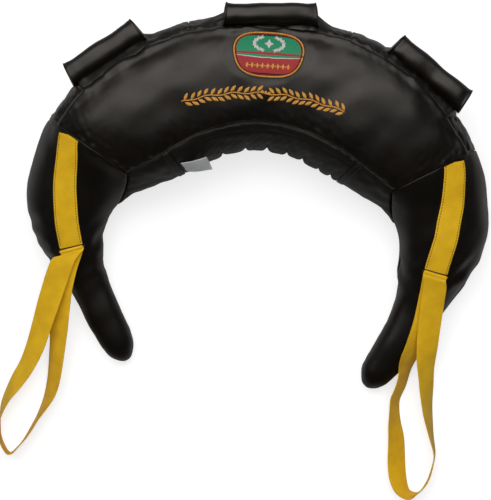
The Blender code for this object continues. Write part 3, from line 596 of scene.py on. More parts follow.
def leather_material(name, dark, light, roughness, grain, specular):
    """Smooth glossy leather: fine pebbled grain, soft creases and an uneven polish."""
    n = Nodes(name)
    where = n.coordinates()
    cells = n.add("TexVoronoi", {"feature": "DISTANCE_TO_EDGE"}, Vector=where, Scale=620).outputs["Distance"]
    normal = n.bump(n.range(cells, 0, 0.22, 0, 1), grain, 0.00012)
    normal = n.bump(n.noise(where, 900, 2), grain, 0.00006, normal)
    return n.finish(
        Base_Color=n.ramp(n.noise(where, 9, 4), (0.3, dark), (0.7, light)),
        Normal=n.bump(n.noise(where, 60, 5, 0.6), 0.2, 0.0005, normal),
        Roughness=n.range(n.noise(where, 26, 3), 0.3, 0.7, roughness - 0.05, roughness + 0.06),
        Specular_IOR_Level=specular,
        Specular_Tint=(1.0, 0.94, 0.88, 1),
    )


def webbing_material(name, colour, deep):
    """Flat woven webbing: cross ribs of the weft over lengthwise ends, from the map in metres. The weave also
    darkens the colour in its valleys, as painted shade.
    """
    n = Nodes(name)
    uv = n.coordinates("UV")
    parts = n.add("SeparateXYZ", Vector=uv).outputs
    rib, end = [
        n.math("SINE", n.math("MULTIPLY", parts[axis], 2 * math.pi / pitch))
        for axis, pitch in (("Y", WEFT_PITCH), ("X", WARP_PITCH))
    ]
    crossed = n.math("MULTIPLY", n.math("MULTIPLY", rib, end), 0.35)
    weave = n.math("ADD", n.math("MULTIPLY", rib, 0.65), crossed)
    fuzz = n.noise(uv, 1400, 3)
    # Painted shade: the weave's height darkens the colour in its valleys, over a random tone.
    tone = n.math("ADD", n.math("MULTIPLY", weave, 0.16), n.noise(uv, 40, 4))
    return n.finish(
        Base_Color=n.ramp(tone, (0.25, deep), (0.62, colour)),
        Normal=n.bump(n.math("ADD", weave, n.math("MULTIPLY", fuzz, 0.8)), 0.55, 0.00016),
        Roughness=n.range(fuzz, 0.3, 0.7, 0.62, 0.8),
        Specular_IOR_Level=0.25,
        Sheen_Weight=0.12,
        Sheen_Roughness=0.4,
    )


def cloth_material(name, colour, deep, scale, roughness=0.85, depth=0.0002, strength=0.5, sheen=0.1):
    """Plain matt stuff: fibres or grains at one scale, with a clouded tone."""
    n = Nodes(name)
    where = n.coordinates()
    fibres = n.noise(where, scale, 4, 0.6)
    cells = n.add("TexVoronoi", Vector=where, Scale=scale).outputs["Distance"]
    tone = n.math("ADD", n.math("MULTIPLY", fibres, 0.5), n.math("MULTIPLY", n.noise(where, scale / 14), 0.5))
    return n.finish(
        Base_Color=n.ramp(tone, (0.3, deep), (0.7, colour)),
        Normal=n.bump(n.math("ADD", fibres, n.math("MULTIPLY", cells, 0.4)), strength, depth),
        Roughness=n.range(fibres, 0.3, 0.7, roughness - 0.05, roughness + 0.05),
        Specular_IOR_Level=0.25,
        Sheen_Weight=sheen,
    )


def thread_material(name, colour, deep):
    """Twisted thread: fine slanting strands."""
    n = Nodes(name)
    bands = {"wave_type": "BANDS", "bands_direction": "DIAGONAL"}
    strands = n.add("TexWave", bands, Vector=n.coordinates(), Scale=420, Distortion=1.5).outputs["Fac"]
    return n.finish(
        Base_Color=n.ramp(strands, (0.1, deep), (0.8, colour)),
        Normal=n.bump(strands, 0.5, 0.0001),
        Roughness=n.range(strands, 0, 1, 0.5, 0.66),
        Specular_IOR_Level=0.4,
        Sheen_Weight=0.1,
    )


leather = leather_material(
    "black leather", (0.0026, 0.0017, 0.0010), (0.0040, 0.0028, 0.0018), 0.40, 0.10, 0.54
)
lining = leather_material(
    "lining leather", (0.0052, 0.0048, 0.0040), (0.0078, 0.0073, 0.0062), 0.50, 0.20, 0.28
)
# The raw seam edges are coloured lighter than a raw edge alone: their colour also paints the highlight along
# the seams' rolled edges.
raw_edge_and_highlight = leather_material("raw seam edge and painted highlight", (0.034, 0.026, 0.019), (0.080, 0.062, 0.046), 0.55, 0.30, 0.30)
# The deeper yellow goes partly into the random tone and partly into the weave's valleys as painted shade.
webbing = webbing_material("yellow webbing", (0.80, 0.480, 0.012), (0.66, 0.365, 0.008))
brown_thread = thread_material("brown thread", (0.110, 0.050, 0.010), (0.045, 0.018, 0.004))
black_thread = thread_material("black thread", (0.016, 0.015, 0.014), (0.004, 0.004, 0.004))
gold_thread = thread_material("gold thread", (0.720, 0.360, 0.060), (0.380, 0.160, 0.020))
green_thread = thread_material("green thread", (0.005, 0.270, 0.120), (0.002, 0.130, 0.055))
red_thread = thread_material("red thread", (0.400, 0.012, 0.014), (0.200, 0.005, 0.006))
white_thread = thread_material("white thread", (0.620, 0.600, 0.580), (0.360, 0.340, 0.330))
badge_cloth = cloth_material("badge ground", (0.020, 0.018, 0.016), (0.008, 0.007, 0.006), 900)
label_satin = cloth_material(
    "label satin", (0.660, 0.670, 0.680), (0.500, 0.510, 0.520), 1300, 0.45, 0.00008, 0.3, 0.2
)
# The finish of each slot that the solids or the fillings have
FINISHES = {
    "wool": cloth_material("wool felt", (0.58, 0.54, 0.47), (0.42, 0.38, 0.32), 500, 0.95, 0.0006, 0.9, 0.4),
    "canvas": cloth_material("pouch canvas", (0.48, 0.42, 0.31), (0.34, 0.29, 0.20), 1100, 0.9, 0.0003, 0.8),
    "sand": cloth_material("sand", (0.68, 0.55, 0.37), (0.42, 0.32, 0.19), 1600, 0.95, 0.0005, 1.0, 0),
    "grip_rubber": cloth_material("grip rubber", (0.055, 0.055, 0.055), (0.035, 0.035, 0.035), 300, 0.8),
    "elastic": cloth_material("neck elastic", (0.032, 0.032, 0.032), (0.016, 0.016, 0.016), 1200, 0.85),
    "foam": cloth_material("core foam", (0.22, 0.22, 0.23), (0.15, 0.15, 0.16), 700, 0.9, 0.0004, 0.8, 0),
    "thread": brown_thread,
    "black_leather": leather,
    "lining_leather": lining,
}


def finish_cad_nodes():
    """Gives every node of the frame its finish, by the end of its name."""
    kinds = {"wadding": "wool", "pouch": "canvas", "grip_core": "grip_rubber", "handle_core": "foam"}
    for name, node in frame["nodes"].items():
        word = next((kind for end, kind in kinds.items() if name.endswith(end)), name.split("_")[-1])
        node.data.materials.clear()
        node.data.materials.append(FINISHES.get(word, leather))


# Leather


def gusset_turn(angles):
    """Where the inner gusset's front seam runs. It swings to the middle of the inner edge at its end."""
    past = (np.abs(angles) - ARM_SEAM_ANGLE) / (GUSSET_END_ANGLE - ARM_SEAM_ANGLE)
    return INNER_SEAM_TURN + (180 - INNER_SEAM_TURN) * np.clip(past, 0, 1)


def strap_plan(side, angles):
    """Plan positions of the strap's centreline."""
    angles = np.atleast_1d(angles)
    centre, half_width, _, _ = sections(side * angles)
    shares = np.array([table_value(STRAP_PATH_SHARES, angle, 1) for angle in angles])
    return polar(side * angles, centre + half_width * shares, np.zeros(len(angles)))[:, :2]


def nearness(points, line, near, far):
    """1 within near of a plan line, falling to 0 at far from it."""
    apart = np.full(points.shape[:-1], 1e9)
    for place in line:
        apart = np.minimum(apart, np.hypot(points[..., 0] - place[0], points[..., 1] - place[1]))
    return 1 - smooth((apart - near) / (far - near))


def pressed(points, angles, front):
    """Where the straps and the badge lie on the leather and hold it smooth."""
    if not front:
        return np.zeros(points.shape[:-1])
    if np.abs(angles).min() > ARM_SEAM_ANGLE - 1:
        line = strap_plan(np.sign(angles[0]), np.linspace(ARM_SEAM_ANGLE, TACK_ANGLE + 3, 60))
        return nearness(points, line, WEBBING_WIDTH / 2 + 0.003, WEBBING_WIDTH / 2 + 0.013)
    middle = badge_middle()
    across, along = points[..., 0], points[..., 1] - middle
    off = np.hypot(across / (BADGE_WIDTH / 2 + 0.003), along / (BADGE_HEIGHT / 2 + 0.003))
    return 1 - smooth((off - 1) / 0.3)


def badge_middle():
    centre, half_width, _, _ = full_section(0)
    return centre + half_width * BADGE_PLACE_SHARE - ARCH_RISE


def seam_shape(distance, share):
    """The leather's fall into a seam and the swell beside it."""
    fall = np.clip(1 - distance / (GROOVE_WIDTH * share), 0, 1)
    swell = distance / PILLOW_REACH
    return share * (PILLOW * swell * np.exp(1 - swell) - GROOVE * fall**2)


def outward(points, angles):
    """Normals of a grid of points on the bag's rings, away from each ring's middle."""
    centre, _, _, level = sections(angles)
    return grid_normals(points, polar(angles, centre, level).reshape(-1, 1, 3))


def add_skin(name, points, out, finish, thickness, nodes=()):
    """A piece on the bag through a grid of points, with its thickness on the side away from out."""
    first = np.cross(points[1, 0] - points[0, 0], points[0, 1] - points[0, 0])
    made = add_grid(name, points, finish, flip=bool(first @ out[0, 0] < 0))
    thicken(made, thickness)
    return settle(made, "bag", nodes)


def puckers(points, distance, seed):
    """Small gathers that cross a seam and fade away from it."""
    faded = np.exp(-distance / PUCKER_FADE) * np.clip(distance / 0.0015, 0, 1)
    return PUCKER_RISE * waves(points, PUCKER_PITCH, seed, 14) * faded


def dress(
    name, node, angles, low, high, columns, shape=None, slot="black_leather", seams=(True,) * 4,
    thickness=SKIN, gathering=1.0,
):
    """A panel of leather between two seams round the section, with its swell, gathers and slack.

    seams says which of the first ring, last ring, first turn and last turn are sewn edges."""
    turns = low[:, None] + (high - low)[:, None] * crowd(columns)
    points = skin(angles, turns)
    out = outward(points, angles)
    along, across = lengths_along(points, 0), lengths_along(points, 1)
    distances = (along, along[-1:] - along, across, across[:, -1:] - across)
    lift = 0.0009 * waves(points, 0.090, 3) + 0.0003 * waves(points, 0.034, 4)
    for edge, (sewn, distance) in enumerate(zip(seams, distances)):
        if sewn:
            gathers = gathering * puckers(points, distance, 20 + edge)
            lift = lift + seam_shape(distance, 1 if edge > 1 else 0.4) + gathers
    if shape is not None:
        lift = lift + shape(points, turns, angles[:, None], distances)
    held = pressed(points, angles, 0 < (low + high).mean() / 2 < 180)
    depth = PRESS + FOLD_PRESS * smooth((np.abs(angles)[:, None] - TACK_ANGLE + 3) / 2)
    lift = lift * (1 - held) - depth * held
    points = points + out * lift[..., None]
    points[..., 2] = np.maximum(points[..., 2], 0)
    return add_skin(name, points, out, FINISHES[slot], thickness, [node])


def seam_gap_angle(radius):
    return math.degrees(SEAM_GAP / 2 / radius)


NECK_RADIUS = CROWN_OUTER_RADIUS * LEFT_PLAN_SHARES[0][1]
CROSS_GAP = seam_gap_angle(NECK_RADIUS)
LONG_GAP = seam_gap_angle(full_section(0)[2])


def outer_seam(angles):
    """The outer seams wander a little, as the filling pushes them."""
    return OUTER_SEAM_TURN + 0.9 * np.sin(np.radians(angles * 9 + 20)) * np.cos(np.radians(angles * 4.3))


def gusset_wrinkles(points, turns, angles, distances):
    """The outer gusset lies lower than the panels and wrinkles towards the handles' ends."""
    recess = -0.0034 * bell(np.minimum(distances[2], distances[3]), 0.010)
    wrinkles = np.zeros(points.shape[:-1])
    for name, handle in HANDLES:
        centre, half_width, half_height, level = full_section(handle)
        edge = centre + half_width
        rise = points[..., 2] - level - half_height * SKIRTS[name][0]
        for way in (-1, 1):
            end = handle + way * math.degrees(HANDLE_SHAPES[name][5] / edge)
            along = np.radians((angles - end) * way) * edge
            fan = np.arctan2(rise - 0.004, np.maximum(along, -0.01) + 0.012)
            reach = bell(along - 0.012, 0.022) * bell(rise, 0.034)
            wrinkles += 0.0011 * reach * np.sin(fan * 7 + way + handle)
    return recess + wrinkles + 0.0004 * waves(points, 0.020, 31)


def pleats(points, turns, angles, distances):
    """The inner gusset is gathered on its elastic: notches open towards its middle, scalloped between."""
    beside = np.minimum(distances[2], distances[3])
    depth = smooth((34 - np.abs(turns - 180)) / 30)
    wide = 0.0012 + 0.0011 * depth
    notches = np.zeros(points.shape[:-1])
    for i, mark in enumerate(sorted(PLEAT_ANGLES)):
        sway = 1.6 * math.sin(i * 2.4) * (1 - depth)
        off = np.radians(angles - mark - sway) * NECK_RADIUS
        notches -= (0.0040 + 0.0008 * math.sin(i * 5.1)) * np.exp(-np.abs(off / wide) ** 1.4)
        notches -= 0.0008 * bell(off, 0.008)
    stitched = -0.0006 * bell(beside - 0.0125, 0.0011)
    fine = 0.00022 * waves(points, 0.012, 41) * smooth((beside - 0.006) / 0.01)
    tucked = -0.0010 * bell(np.minimum(distances[0], distances[1]), 0.003)
    return (notches + 0.0008) * depth + stitched + fine + tucked


def hem(points, turns, angles, distances):
    """The side gussets end at the neck in a folded hem that stands over the centre one."""
    past = distances[0]
    raised = 0.0011 * (1 - smooth((past - 0.0085) / 0.001)) * smooth(past / 0.0008 + 0.3)
    rows = sum(bell(past - row, 0.0007) for row in HEM_ROWS)
    return raised - 0.0004 * rows + 0.0003 * waves(points, 0.018, 43) * smooth((past - 0.01) / 0.01)


def ring_angles(start, end, step):
    """Ring angles between two seams, clear of each by half the gap."""
    way = 1 if end > start else -1
    count = max(8, round(abs(end - start) / step))
    return start + way * CROSS_GAP + (end - start - 2 * way * CROSS_GAP) * crowd(count)


def build_crown():
    """The front and back panels and the outer gusset. Gives the front's surface, for pieces laid on it."""
    angles = ring_angles(-ARM_SEAM_ANGLE, ARM_SEAM_ANGLE, 0.28)
    low = outer_seam(angles) + LONG_GAP
    high = np.full(len(angles), INNER_SEAM_TURN - LONG_GAP)
    front = dress("front_leather", "front_panel", angles, low, high, 90, front_roll)
    dress("back_leather", "back_panel", angles, -high, -low, 70)
    ends = (-ARM_SEAM_ANGLE, -HANDLE_SEAM_ANGLE, HANDLE_SEAM_ANGLE, ARM_SEAM_ANGLE)
    for name, start, end in zip(("right", "center", "left"), ends, ends[1:]):
        angles = ring_angles(start, end, 0.25)
        edge = outer_seam(angles) - LONG_GAP
        dress(f"{name}_gusset_leather", f"{name}_outer_gusset", angles, -edge, edge, 72, gusset_wrinkles)
    data = front.data
    return BVHTree.FromPolygons([v.co for v in data.vertices], [p.vertices for p in data.polygons])


def front_roll(points, turns, angles, distances):
    """The front panel's outer edge is a soft uneven roll over the gusset, which the handles push in."""
    pushed = 0.0060 * bell(angles - 2, 13) + 0.0030 * bell(angles - 41, 12)
    crest = 0.0065 + pushed
    roll = 0.0030 * bell(distances[2] - crest, 0.0065)
    valley = -0.0022 * smooth((crest - 0.0050 - distances[2]) / 0.003) * smooth(pushed / 0.002)
    uneven = 0.0009 * waves(points, 0.034, 35) * np.exp(-distances[2] / 0.022)
    return (roll + uneven + valley) * smooth(distances[2] / 0.003)


def build_inner_gussets():
    """The neck gusset, gathered on its elastic, and a plainer length on each side of it."""
    kind = ("lining_leather", (False, False, True, True))
    angles = ring_angles(-HEM_ANGLE, HEM_ANGLE, 0.16)
    edge = np.full(len(angles), INNER_SEAM_TURN + LONG_GAP)
    node = "center_inner_gusset"
    dress("neck_gusset_leather", node, angles, edge, 360 - edge, 110, pleats, *kind, GATHERED_SKIN)
    for name, side in SIDES:
        angles = side * ring_angles(HEM_ANGLE, GUSSET_END_ANGLE - 0.05, 0.25)
        edge = np.minimum(gusset_turn(angles) + LONG_GAP, 179.7)
        node = f"{name}_inner_gusset"
        dress(f"{name}_neck_gusset_leather", node, angles, edge, 360 - edge, 60, hem, *kind)


def build_arms():
    """The front and back halves of both arms, with rings that crowd where the tips round off."""
    for name, side in SIDES:
        tip = TIP_ANGLES[side]
        round_angle = math.degrees(TIP_ROUND / full_section(side * tip)[0])
        straight = ring_angles(ARM_SEAM_ANGLE, tip - round_angle, 0.32)
        curved = tip - round_angle * (1 - np.sin(np.radians(np.linspace(0, 89.9, 26)[1:])))
        angles = side * np.concatenate([straight, curved])
        inner = np.where(np.abs(angles) < GUSSET_END_ANGLE, gusset_turn(angles) - LONG_GAP, 180 - LONG_GAP)
        outer = np.full(len(angles), LONG_GAP)
        for half, low, high, columns in (("front", outer, inner, 72), ("back", -inner, -outer, 60)):
            node = f"{name}_arm_{half}"
            dress(
                f"{node}_leather", node, angles, low, high, columns, arm_slack,
                seams=(True, False, True, True), gathering=ARM_GATHERING,
            )


def arm_slack(points, turns, angles, distances):
    """Soft rolls across the arm where it narrows to the grip."""
    return 0.0008 * bell(np.abs(angles) - 92, 9) * waves(points, 0.026, 51)


def build_layer(name, node, angles, low, high, depth, thickness, slot):
    """A layer of filling inside the leather, between two turns."""
    turns, lift = np.linspace(low, high, 40), -depth
    points = skin(angles, turns, lift)
    millimetre = points - skin(angles, turns, lift - 0.001)
    points = points + millimetre * (0.6 * waves(points, 0.02, 91))[..., None]
    points[..., 2] = np.maximum(points[..., 2], depth)
    add_skin(name, points, outward(points, angles), FINISHES[slot], thickness, [node])


def build_core(name, node, angles, depth, slot):
    """A closed body of filling inside an arm."""
    points = skin(angles, np.linspace(0, 360, 40, endpoint=False), -depth)
    points[..., 2] = np.maximum(points[..., 2], depth)
    settle(add_closed(name, points, FINISHES[slot]), "bag", [node])


def build_filling():
    """The felt, wool, elastic and grip cores, drawn in a little so that the leather's folds clear them."""
    crown = np.linspace(-ARM_SEAM_ANGLE + 0.4, ARM_SEAM_ANGLE - 0.4, 160)
    build_layer("front_felt", "front_wadding", crown, 4, 166, FELT_DEPTH, FELT, "wool")
    build_layer("back_felt", "back_wadding", crown, -166, -4, FELT_DEPTH, FELT, "wool")
    neck = np.linspace(-HEM_ANGLE + 0.3, HEM_ANGLE - 0.3, 120)
    build_layer("neck_elastic_band", "neck_elastic", neck, 169, 191, ELASTIC_DEPTH, ELASTIC, "elastic")
    for name, side in SIDES:
        arm = side * np.linspace(ARM_SEAM_ANGLE + 0.6, GRIP_ANGLE - 0.3, 60)
        build_core(f"{name}_arm_filling", f"{name}_arm_wool", arm, WOOL_DEPTH, "wool")
        grip = side * np.linspace(GRIP_ANGLE + 0.3, TIP_ANGLES[side] - 2.5, 50)
        build_core(f"{name}_grip_filling", f"{name}_grip_core", grip, GRIP_CORE_DEPTH, "grip_rubber")


def seam_line(angles, turns, lift):
    """A line on the bag's smooth surface through those angles and turns."""
    angles, turns = np.broadcast_arrays(np.asarray(angles, float), np.asarray(turns, float))
    return skin(angles[:, None], turns[:, None], lift)[:, 0]


def tube(line, radius, sides=6):
    """A grid of points round a line."""
    ahead = unit(np.gradient(line, axis=0))
    side = unit(np.cross(ahead, [0.02, 0.03, 1.0]))
    up = np.cross(side, ahead)
    turn = np.linspace(0, 2 * math.pi, sides, endpoint=False)[None, :, None]
    return line[:, None] + radius * (side[:, None] * np.cos(turn) + up[:, None] * np.sin(turn))


def build_seam_edges_and_highlights():
    """The raw edges of the leather, which show as thin light lines in the front's seams. Their lighter colour
    is partly the raw edge's own and partly a painted highlight along the seams' rolled edges.
    """
    crown = np.linspace(-ARM_SEAM_ANGLE + 0.5, ARM_SEAM_ANGLE - 0.5, 500)
    turns = np.linspace(2, INNER_SEAM_TURN - 1, 160)
    lines = [("neck", seam_line(crown, INNER_SEAM_TURN, -0.0010), 0.0004)]
    for name, side in SIDES:
        lines.append((f"{name}_arm", seam_line(side * ARM_SEAM_ANGLE, turns, -0.0014), 0.00032))
    for name, line, radius in lines:
        line[:, 2] += 0.00012 * np.sin(np.arange(len(line)) * 0.9)
        made = add_closed(f"{name}_raw_edge_and_highlight", tube(line, radius), raw_edge_and_highlight, MERGE_DISTANCE / 10)
        settle(made, "bag")


def build_tape(name, kind, angles, turns):
    """A narrow tape behind a seam, so that nothing shows through it."""
    lift, thickness = TAPES[kind]
    points = skin(angles, turns, lift)
    points[..., 2] = np.maximum(points[..., 2], 0.0015)
    add_skin(name, points, outward(points, angles), leather, thickness)


def build_tapes():
    """Tapes behind the seams across the bag and the seams along it."""
    for place, angle, low, high in (
        ("arm", ARM_SEAM_ANGLE, 0, 359),
        ("gusset", HANDLE_SEAM_ANGLE, -36, 36),
        ("hem", HEM_ANGLE, 128, 232),
    ):
        for name, side in SIDES:
            rings = np.linspace(side * angle - 0.7, side * angle + 0.7, 7)
            build_tape(f"{name}_{place}_cross_tape", "cross", rings, np.linspace(low, high, 120))
    crown = np.linspace(-ARM_SEAM_ANGLE + 1, ARM_SEAM_ANGLE - 1, 200)
    spread = np.linspace(-3, 3, 7)
    for way, name in ((1, "front"), (-1, "back")):
        build_tape(f"{name}_outer_tape", "outer", crown, way * (outer_seam(crown)[:, None] + spread))
        build_tape(f"{name}_inner_tape", "inner", crown, way * INNER_SEAM_TURN + spread)
    for name, side in SIDES:
        for place, start, turn in (("outer", ARM_SEAM_ANGLE, 0), ("inner", GUSSET_END_ANGLE, 180)):
            rings = side * np.linspace(start + 1, TIP_ANGLES[side] - 1.2, 90)
            build_tape(f"{name}_arm_{place}_tape", "arm", rings, turn + np.linspace(-4, 4, 7))


def build_hem_stitches():
    """Two rows of black stitches down each hem of the neck gusset."""
    turns = np.linspace(INNER_SEAM_TURN + 3, 354 - INNER_SEAM_TURN, 120)
    for name, side in SIDES:
        angles = [side * (HEM_ANGLE + math.degrees(row / NECK_RADIUS)) for row in HEM_ROWS]
        rows = [seam_line(angle, turns, 0.0009) for angle in angles]
        middle = polar(side * HEM_ANGLE, full_section(side * HEM_ANGLE)[0], 0.07)
        ups = [unit(row - middle) for row in rows]
        add_stitches(f"{name}_hem_stitches", "hem", rows, black_thread, ups)


# Handles


def transform(points, matrix):
    turned = np.array(matrix.to_3x3())
    return points @ turned.T + np.array(matrix.translation)


def clear_of_bag(points, gap):
    """The same points, pushed out of the bag's section to that distance from it."""
    angles, radii = polar_of(points)
    centre, half_width, half_height, level = sections(angles)
    across, up = (radii - centre) / (half_width + gap), (points[..., 2] - level) / (half_height + gap)
    inside = (np.abs(across) ** FULLNESS + np.abs(up) ** FULLNESS) ** (1 / FULLNESS)
    grow = 1 / np.clip(inside, 0.5, 1)
    return polar(angles, centre + (radii - centre) * grow, level + (points[..., 2] - level) * grow)


def handle_grid(name, angle, columns, steps, share, inset):
    """Points round a handle's roll at rest: flat-topped, leaning on the bag and flared at its open ends."""
    outward_shift, up, half_width, half_height, start, end, toe = HANDLE_SHAPES[name]
    u = 2 * crowd(columns)[:, None] - 1
    turn = np.radians(np.linspace(0, 360, steps, endpoint=False))[None, :]
    half = (end - start) / 2
    to_end = half - np.abs(u) * half
    past = smooth(1 - to_end / HANDLE_OVERHANG)
    rim = HANDLE_RIM * smooth(1 - to_end / 0.003)
    wide = half_width * share + HANDLE_FLARE * past + rim
    high = half_height * share * (1 - 0.14 * past) + rim
    across, above = [
        reach * np.sign(way) * np.abs(way) ** (2 / HANDLE_SQUARENESS)
        for reach, way in ((wide, np.cos(turn)), (high, np.sin(turn)))
    ]
    tilt = math.radians(-HANDLE_TILT_ANGLE)
    y = outward_shift + across * math.cos(tilt) - above * math.sin(tilt)
    z = up + across * math.sin(tilt) + above * math.cos(tilt)
    splay = -0.0018 * across / wide - 0.0014 * above / high
    x = (start + end) / 2 + u * (half - inset) + np.sign(u) * splay * past
    grid = np.stack(np.broadcast_arrays(x, y, z), -1)
    out = grid_normals(grid, np.stack(np.broadcast_arrays(x, outward_shift, up + 0 * y), -1))
    place = grid + [0.3 * angle, 0, 0]
    creases = 0.0003 * waves(place * [1, 0.35, 0.35], 0.014, 62) * (0.3 + past)
    lift = 0.0007 * waves(place, 0.050, 61) + creases
    grid = grid + out * (lift * share**3)[..., None]
    hinge = Matrix.Translation(Vector(joint(f"{name}_handle_fold")["pos_m"]))
    turned = hinge @ Matrix.Rotation(math.radians(angle + toe), 4, "Z")
    return clear_of_bag(transform(grid, turned), HANDLE_CLEARANCE + (1 - share) * 0.012)


def build_handle(name, angle):
    """The rolled sleeve with its open ends, and the foam that fills it."""
    grid = handle_grid(name, angle, 110, 64, 1.0, 0)
    made = thicken(merge(add_grid(f"{name}_handle_leather", grid, leather, wrap=(False, True))), SKIN)
    settle(made, f"{name}_handle", [f"{name}_handle_cover"])
    grid = handle_grid(name, angle, 40, 40, 0.80, 0.012)
    filling = add_closed(f"{name}_handle_foam", grid, FINISHES["foam"])
    settle(filling, f"{name}_handle", [f"{name}_handle_core"])


def build_skirt(name, angle):
    """The leather that carries a handle: it rises from the gusset to the roll's foot in a concave sweep."""
    centre, half_width, _, _ = full_section(angle)
    edge = centre + half_width
    start, end, toe = HANDLE_SHAPES[name][4:]
    share, front, reach, before, after = SKIRTS[name]
    x = np.linspace(start - before, end + after, 190)[:, None]
    past = np.where(x < 0, (start + 0.004 - x) / before, (x - end + 0.004) / after)
    sweep = (1 - np.clip(past, 0, 1)) ** 2.2
    ends = 0.0034 * smooth((np.abs(x) - 0.025) / 0.030)
    peak = (WELT_REACH + 0.0012 + x**2 / 2 / edge + x * math.tan(math.radians(toe)) * 0.6 + ends) * sweep
    angles = angle + np.degrees(np.arctan2(-x, edge))
    root = math.degrees(math.asin(share ** (FULLNESS / 2)))
    back = root - 14
    foot = root + 13 + (front - root - 13) * sweep**0.5
    v = np.linspace(0, 1, 64)[None, :]
    turns = back + (foot - back) * v
    off = turns - root
    to_edge = np.abs(2 * v - 1)
    rising = np.where(off > 0, np.exp(-(np.abs(off) / reach) ** 1.5), bell(off, 6))
    fillet = 0.0026 * bell(off - reach * 0.9, 7) * smooth(1 - past * 2)
    wrinkled = 0.0005 * waves(skin(angles, turns) + [angle, 0, 0], 0.012, 71) * bell(off - 12, 9)
    lift = (peak * rising + fillet) * (1 - to_edge**8) - 0.0046 * to_edge**7 + wrinkled - 0.0006
    points = skin(angles, turns, lift)
    out, node = outward(points, angles), f"{name}_handle_welt"
    add_skin(f"{name}_handle_skirt", points, out, leather, SKIRT_SKIN, [node])


# Webbing


def walk_across(start, direction, distance, steps):
    """Plan positions reached by going over the front surface in plan directions, one for each step."""
    here, found = start.copy(), []
    stride = distance / steps
    for _ in range(steps):
        ahead = here + direction * stride
        rise = (front_height(ahead, 0) - front_height(here, 0)) / stride
        here = here + direction * (stride / np.sqrt(1 + rise**2))[:, None]
        found.append(here)
    return found


def strap_directions(side, angles):
    """Plan directions of the strap at some angles: down the arm, and across the webbing."""
    down = unit(strap_plan(side, angles + 0.5) - strap_plan(side, angles - 0.5))
    return down, np.stack([-down[:, 1], down[:, 0]], -1)


def strap_frame(name, side):
    """A loop's fold, round its joint: its middle, and the directions along it, up the arm and outwards."""
    hinge = joint(f"{name}_loop_swing")
    axis, along = np.array(hinge["pos_m"]), -unit(np.array(hinge["axis"]))
    middle = strap_plan(side, TACK_ANGLE)
    down, _ = strap_directions(side, TACK_ANGLE)
    ahead, behind = [middle + down * way * WEBBING_WIDTH / 2 for way in (1, -1)]
    slope = np.append(ahead[0], front_height(ahead, 0)) - np.append(behind[0], front_height(behind, 0))
    out = unit(np.cross(along, slope))
    out = out * np.sign(out[2])
    return axis, along, unit(np.cross(out, along)), out


def build_sewn_strap(name, side):
    """The length of webbing stitched down on the arm, with its two rows of stitches."""
    radius = polar_of(strap_plan(side, TACK_ANGLE))[1][0]
    last = TACK_ANGLE - math.degrees((FOLD_RADIUS + SEAM_GAP) / radius)
    angles = np.linspace(STRAP_START_ANGLE, last, 130)
    middle = strap_plan(side, angles)
    _, across = strap_directions(side, angles)
    half = 14
    walks = [walk_across(middle, across * way, WEBBING_WIDTH / 2, half) for way in (-1, 1)]
    plan = np.stack(walks[0][::-1] + [middle] + walks[1], 1)
    point_angles, radii = polar_of(plan)
    clamped = polar(side * STRAP_START_ANGLE, radii, 0)[..., :2]
    plan = np.where((np.abs(point_angles) < STRAP_START_ANGLE)[..., None], clamped, plan)
    way = np.linspace(-1, 1, 2 * half + 1)
    drawn = 0.0005 * np.clip((np.abs(way) - 0.9) / 0.1, 0, 1) ** 2
    seam = 0.00035 * bell(np.abs(way) - STRAP_SEAM_SHARE, 0.035)
    over = front_height(plan, DRAPE_GAP + WEBBING) - drawn - seam
    under = front_height(plan, DRAPE_GAP * 0.4)
    top, bottom = [np.concatenate([plan, height[..., None]], -1) for height in (over, under)]
    made = add_band(f"{name}_sewn_strap", top, bottom, webbing)
    settle(made, "bag", [f"{name}_strap"])
    columns = [int(round((1 + share) * half)) for share in (-STRAP_SEAM_SHARE, STRAP_SEAM_SHARE)]
    rows = [top[2:, column] + [0, 0, STITCH_LIFT] for column in columns]
    add_stitches(f"{name}_strap_stitches", "strap", rows, brown_thread)


def along_line(line, distances):
    """Points and directions at distances along a polyline."""
    lengths = lengths_along(line, 0)
    points, ahead, behind = [
        np.stack([np.interp(distances + shift, lengths, line[:, k]) for k in range(3)], -1)
        for shift in (0, 0.0004, -0.0004)
    ]
    return points, unit(ahead - behind)


def capsule(length, radius):
    """Points and faces of one stitch: a short tube along X with rounded ends that dip."""
    place, width, dip = np.array(STITCH_STATIONS).T[..., None]
    turn = np.radians(np.arange(0, 360, 60))
    up = width * radius * np.sin(turn) + dip * radius
    points = np.stack(np.broadcast_arrays(place * length / 2, width * radius * np.cos(turn), up), -1)
    rings, sides = points.shape[:2]
    faces = [
        (ring + k, ring + (k + 1) % sides, ring + sides + (k + 1) % sides, ring + sides + k)
        for ring in range(0, (rings - 1) * sides, sides)
        for k in range(sides)
    ]
    faces += [tuple(range(sides))[::-1], tuple(range((rings - 1) * sides, rings * sides))]
    return points.reshape(-1, 3), faces


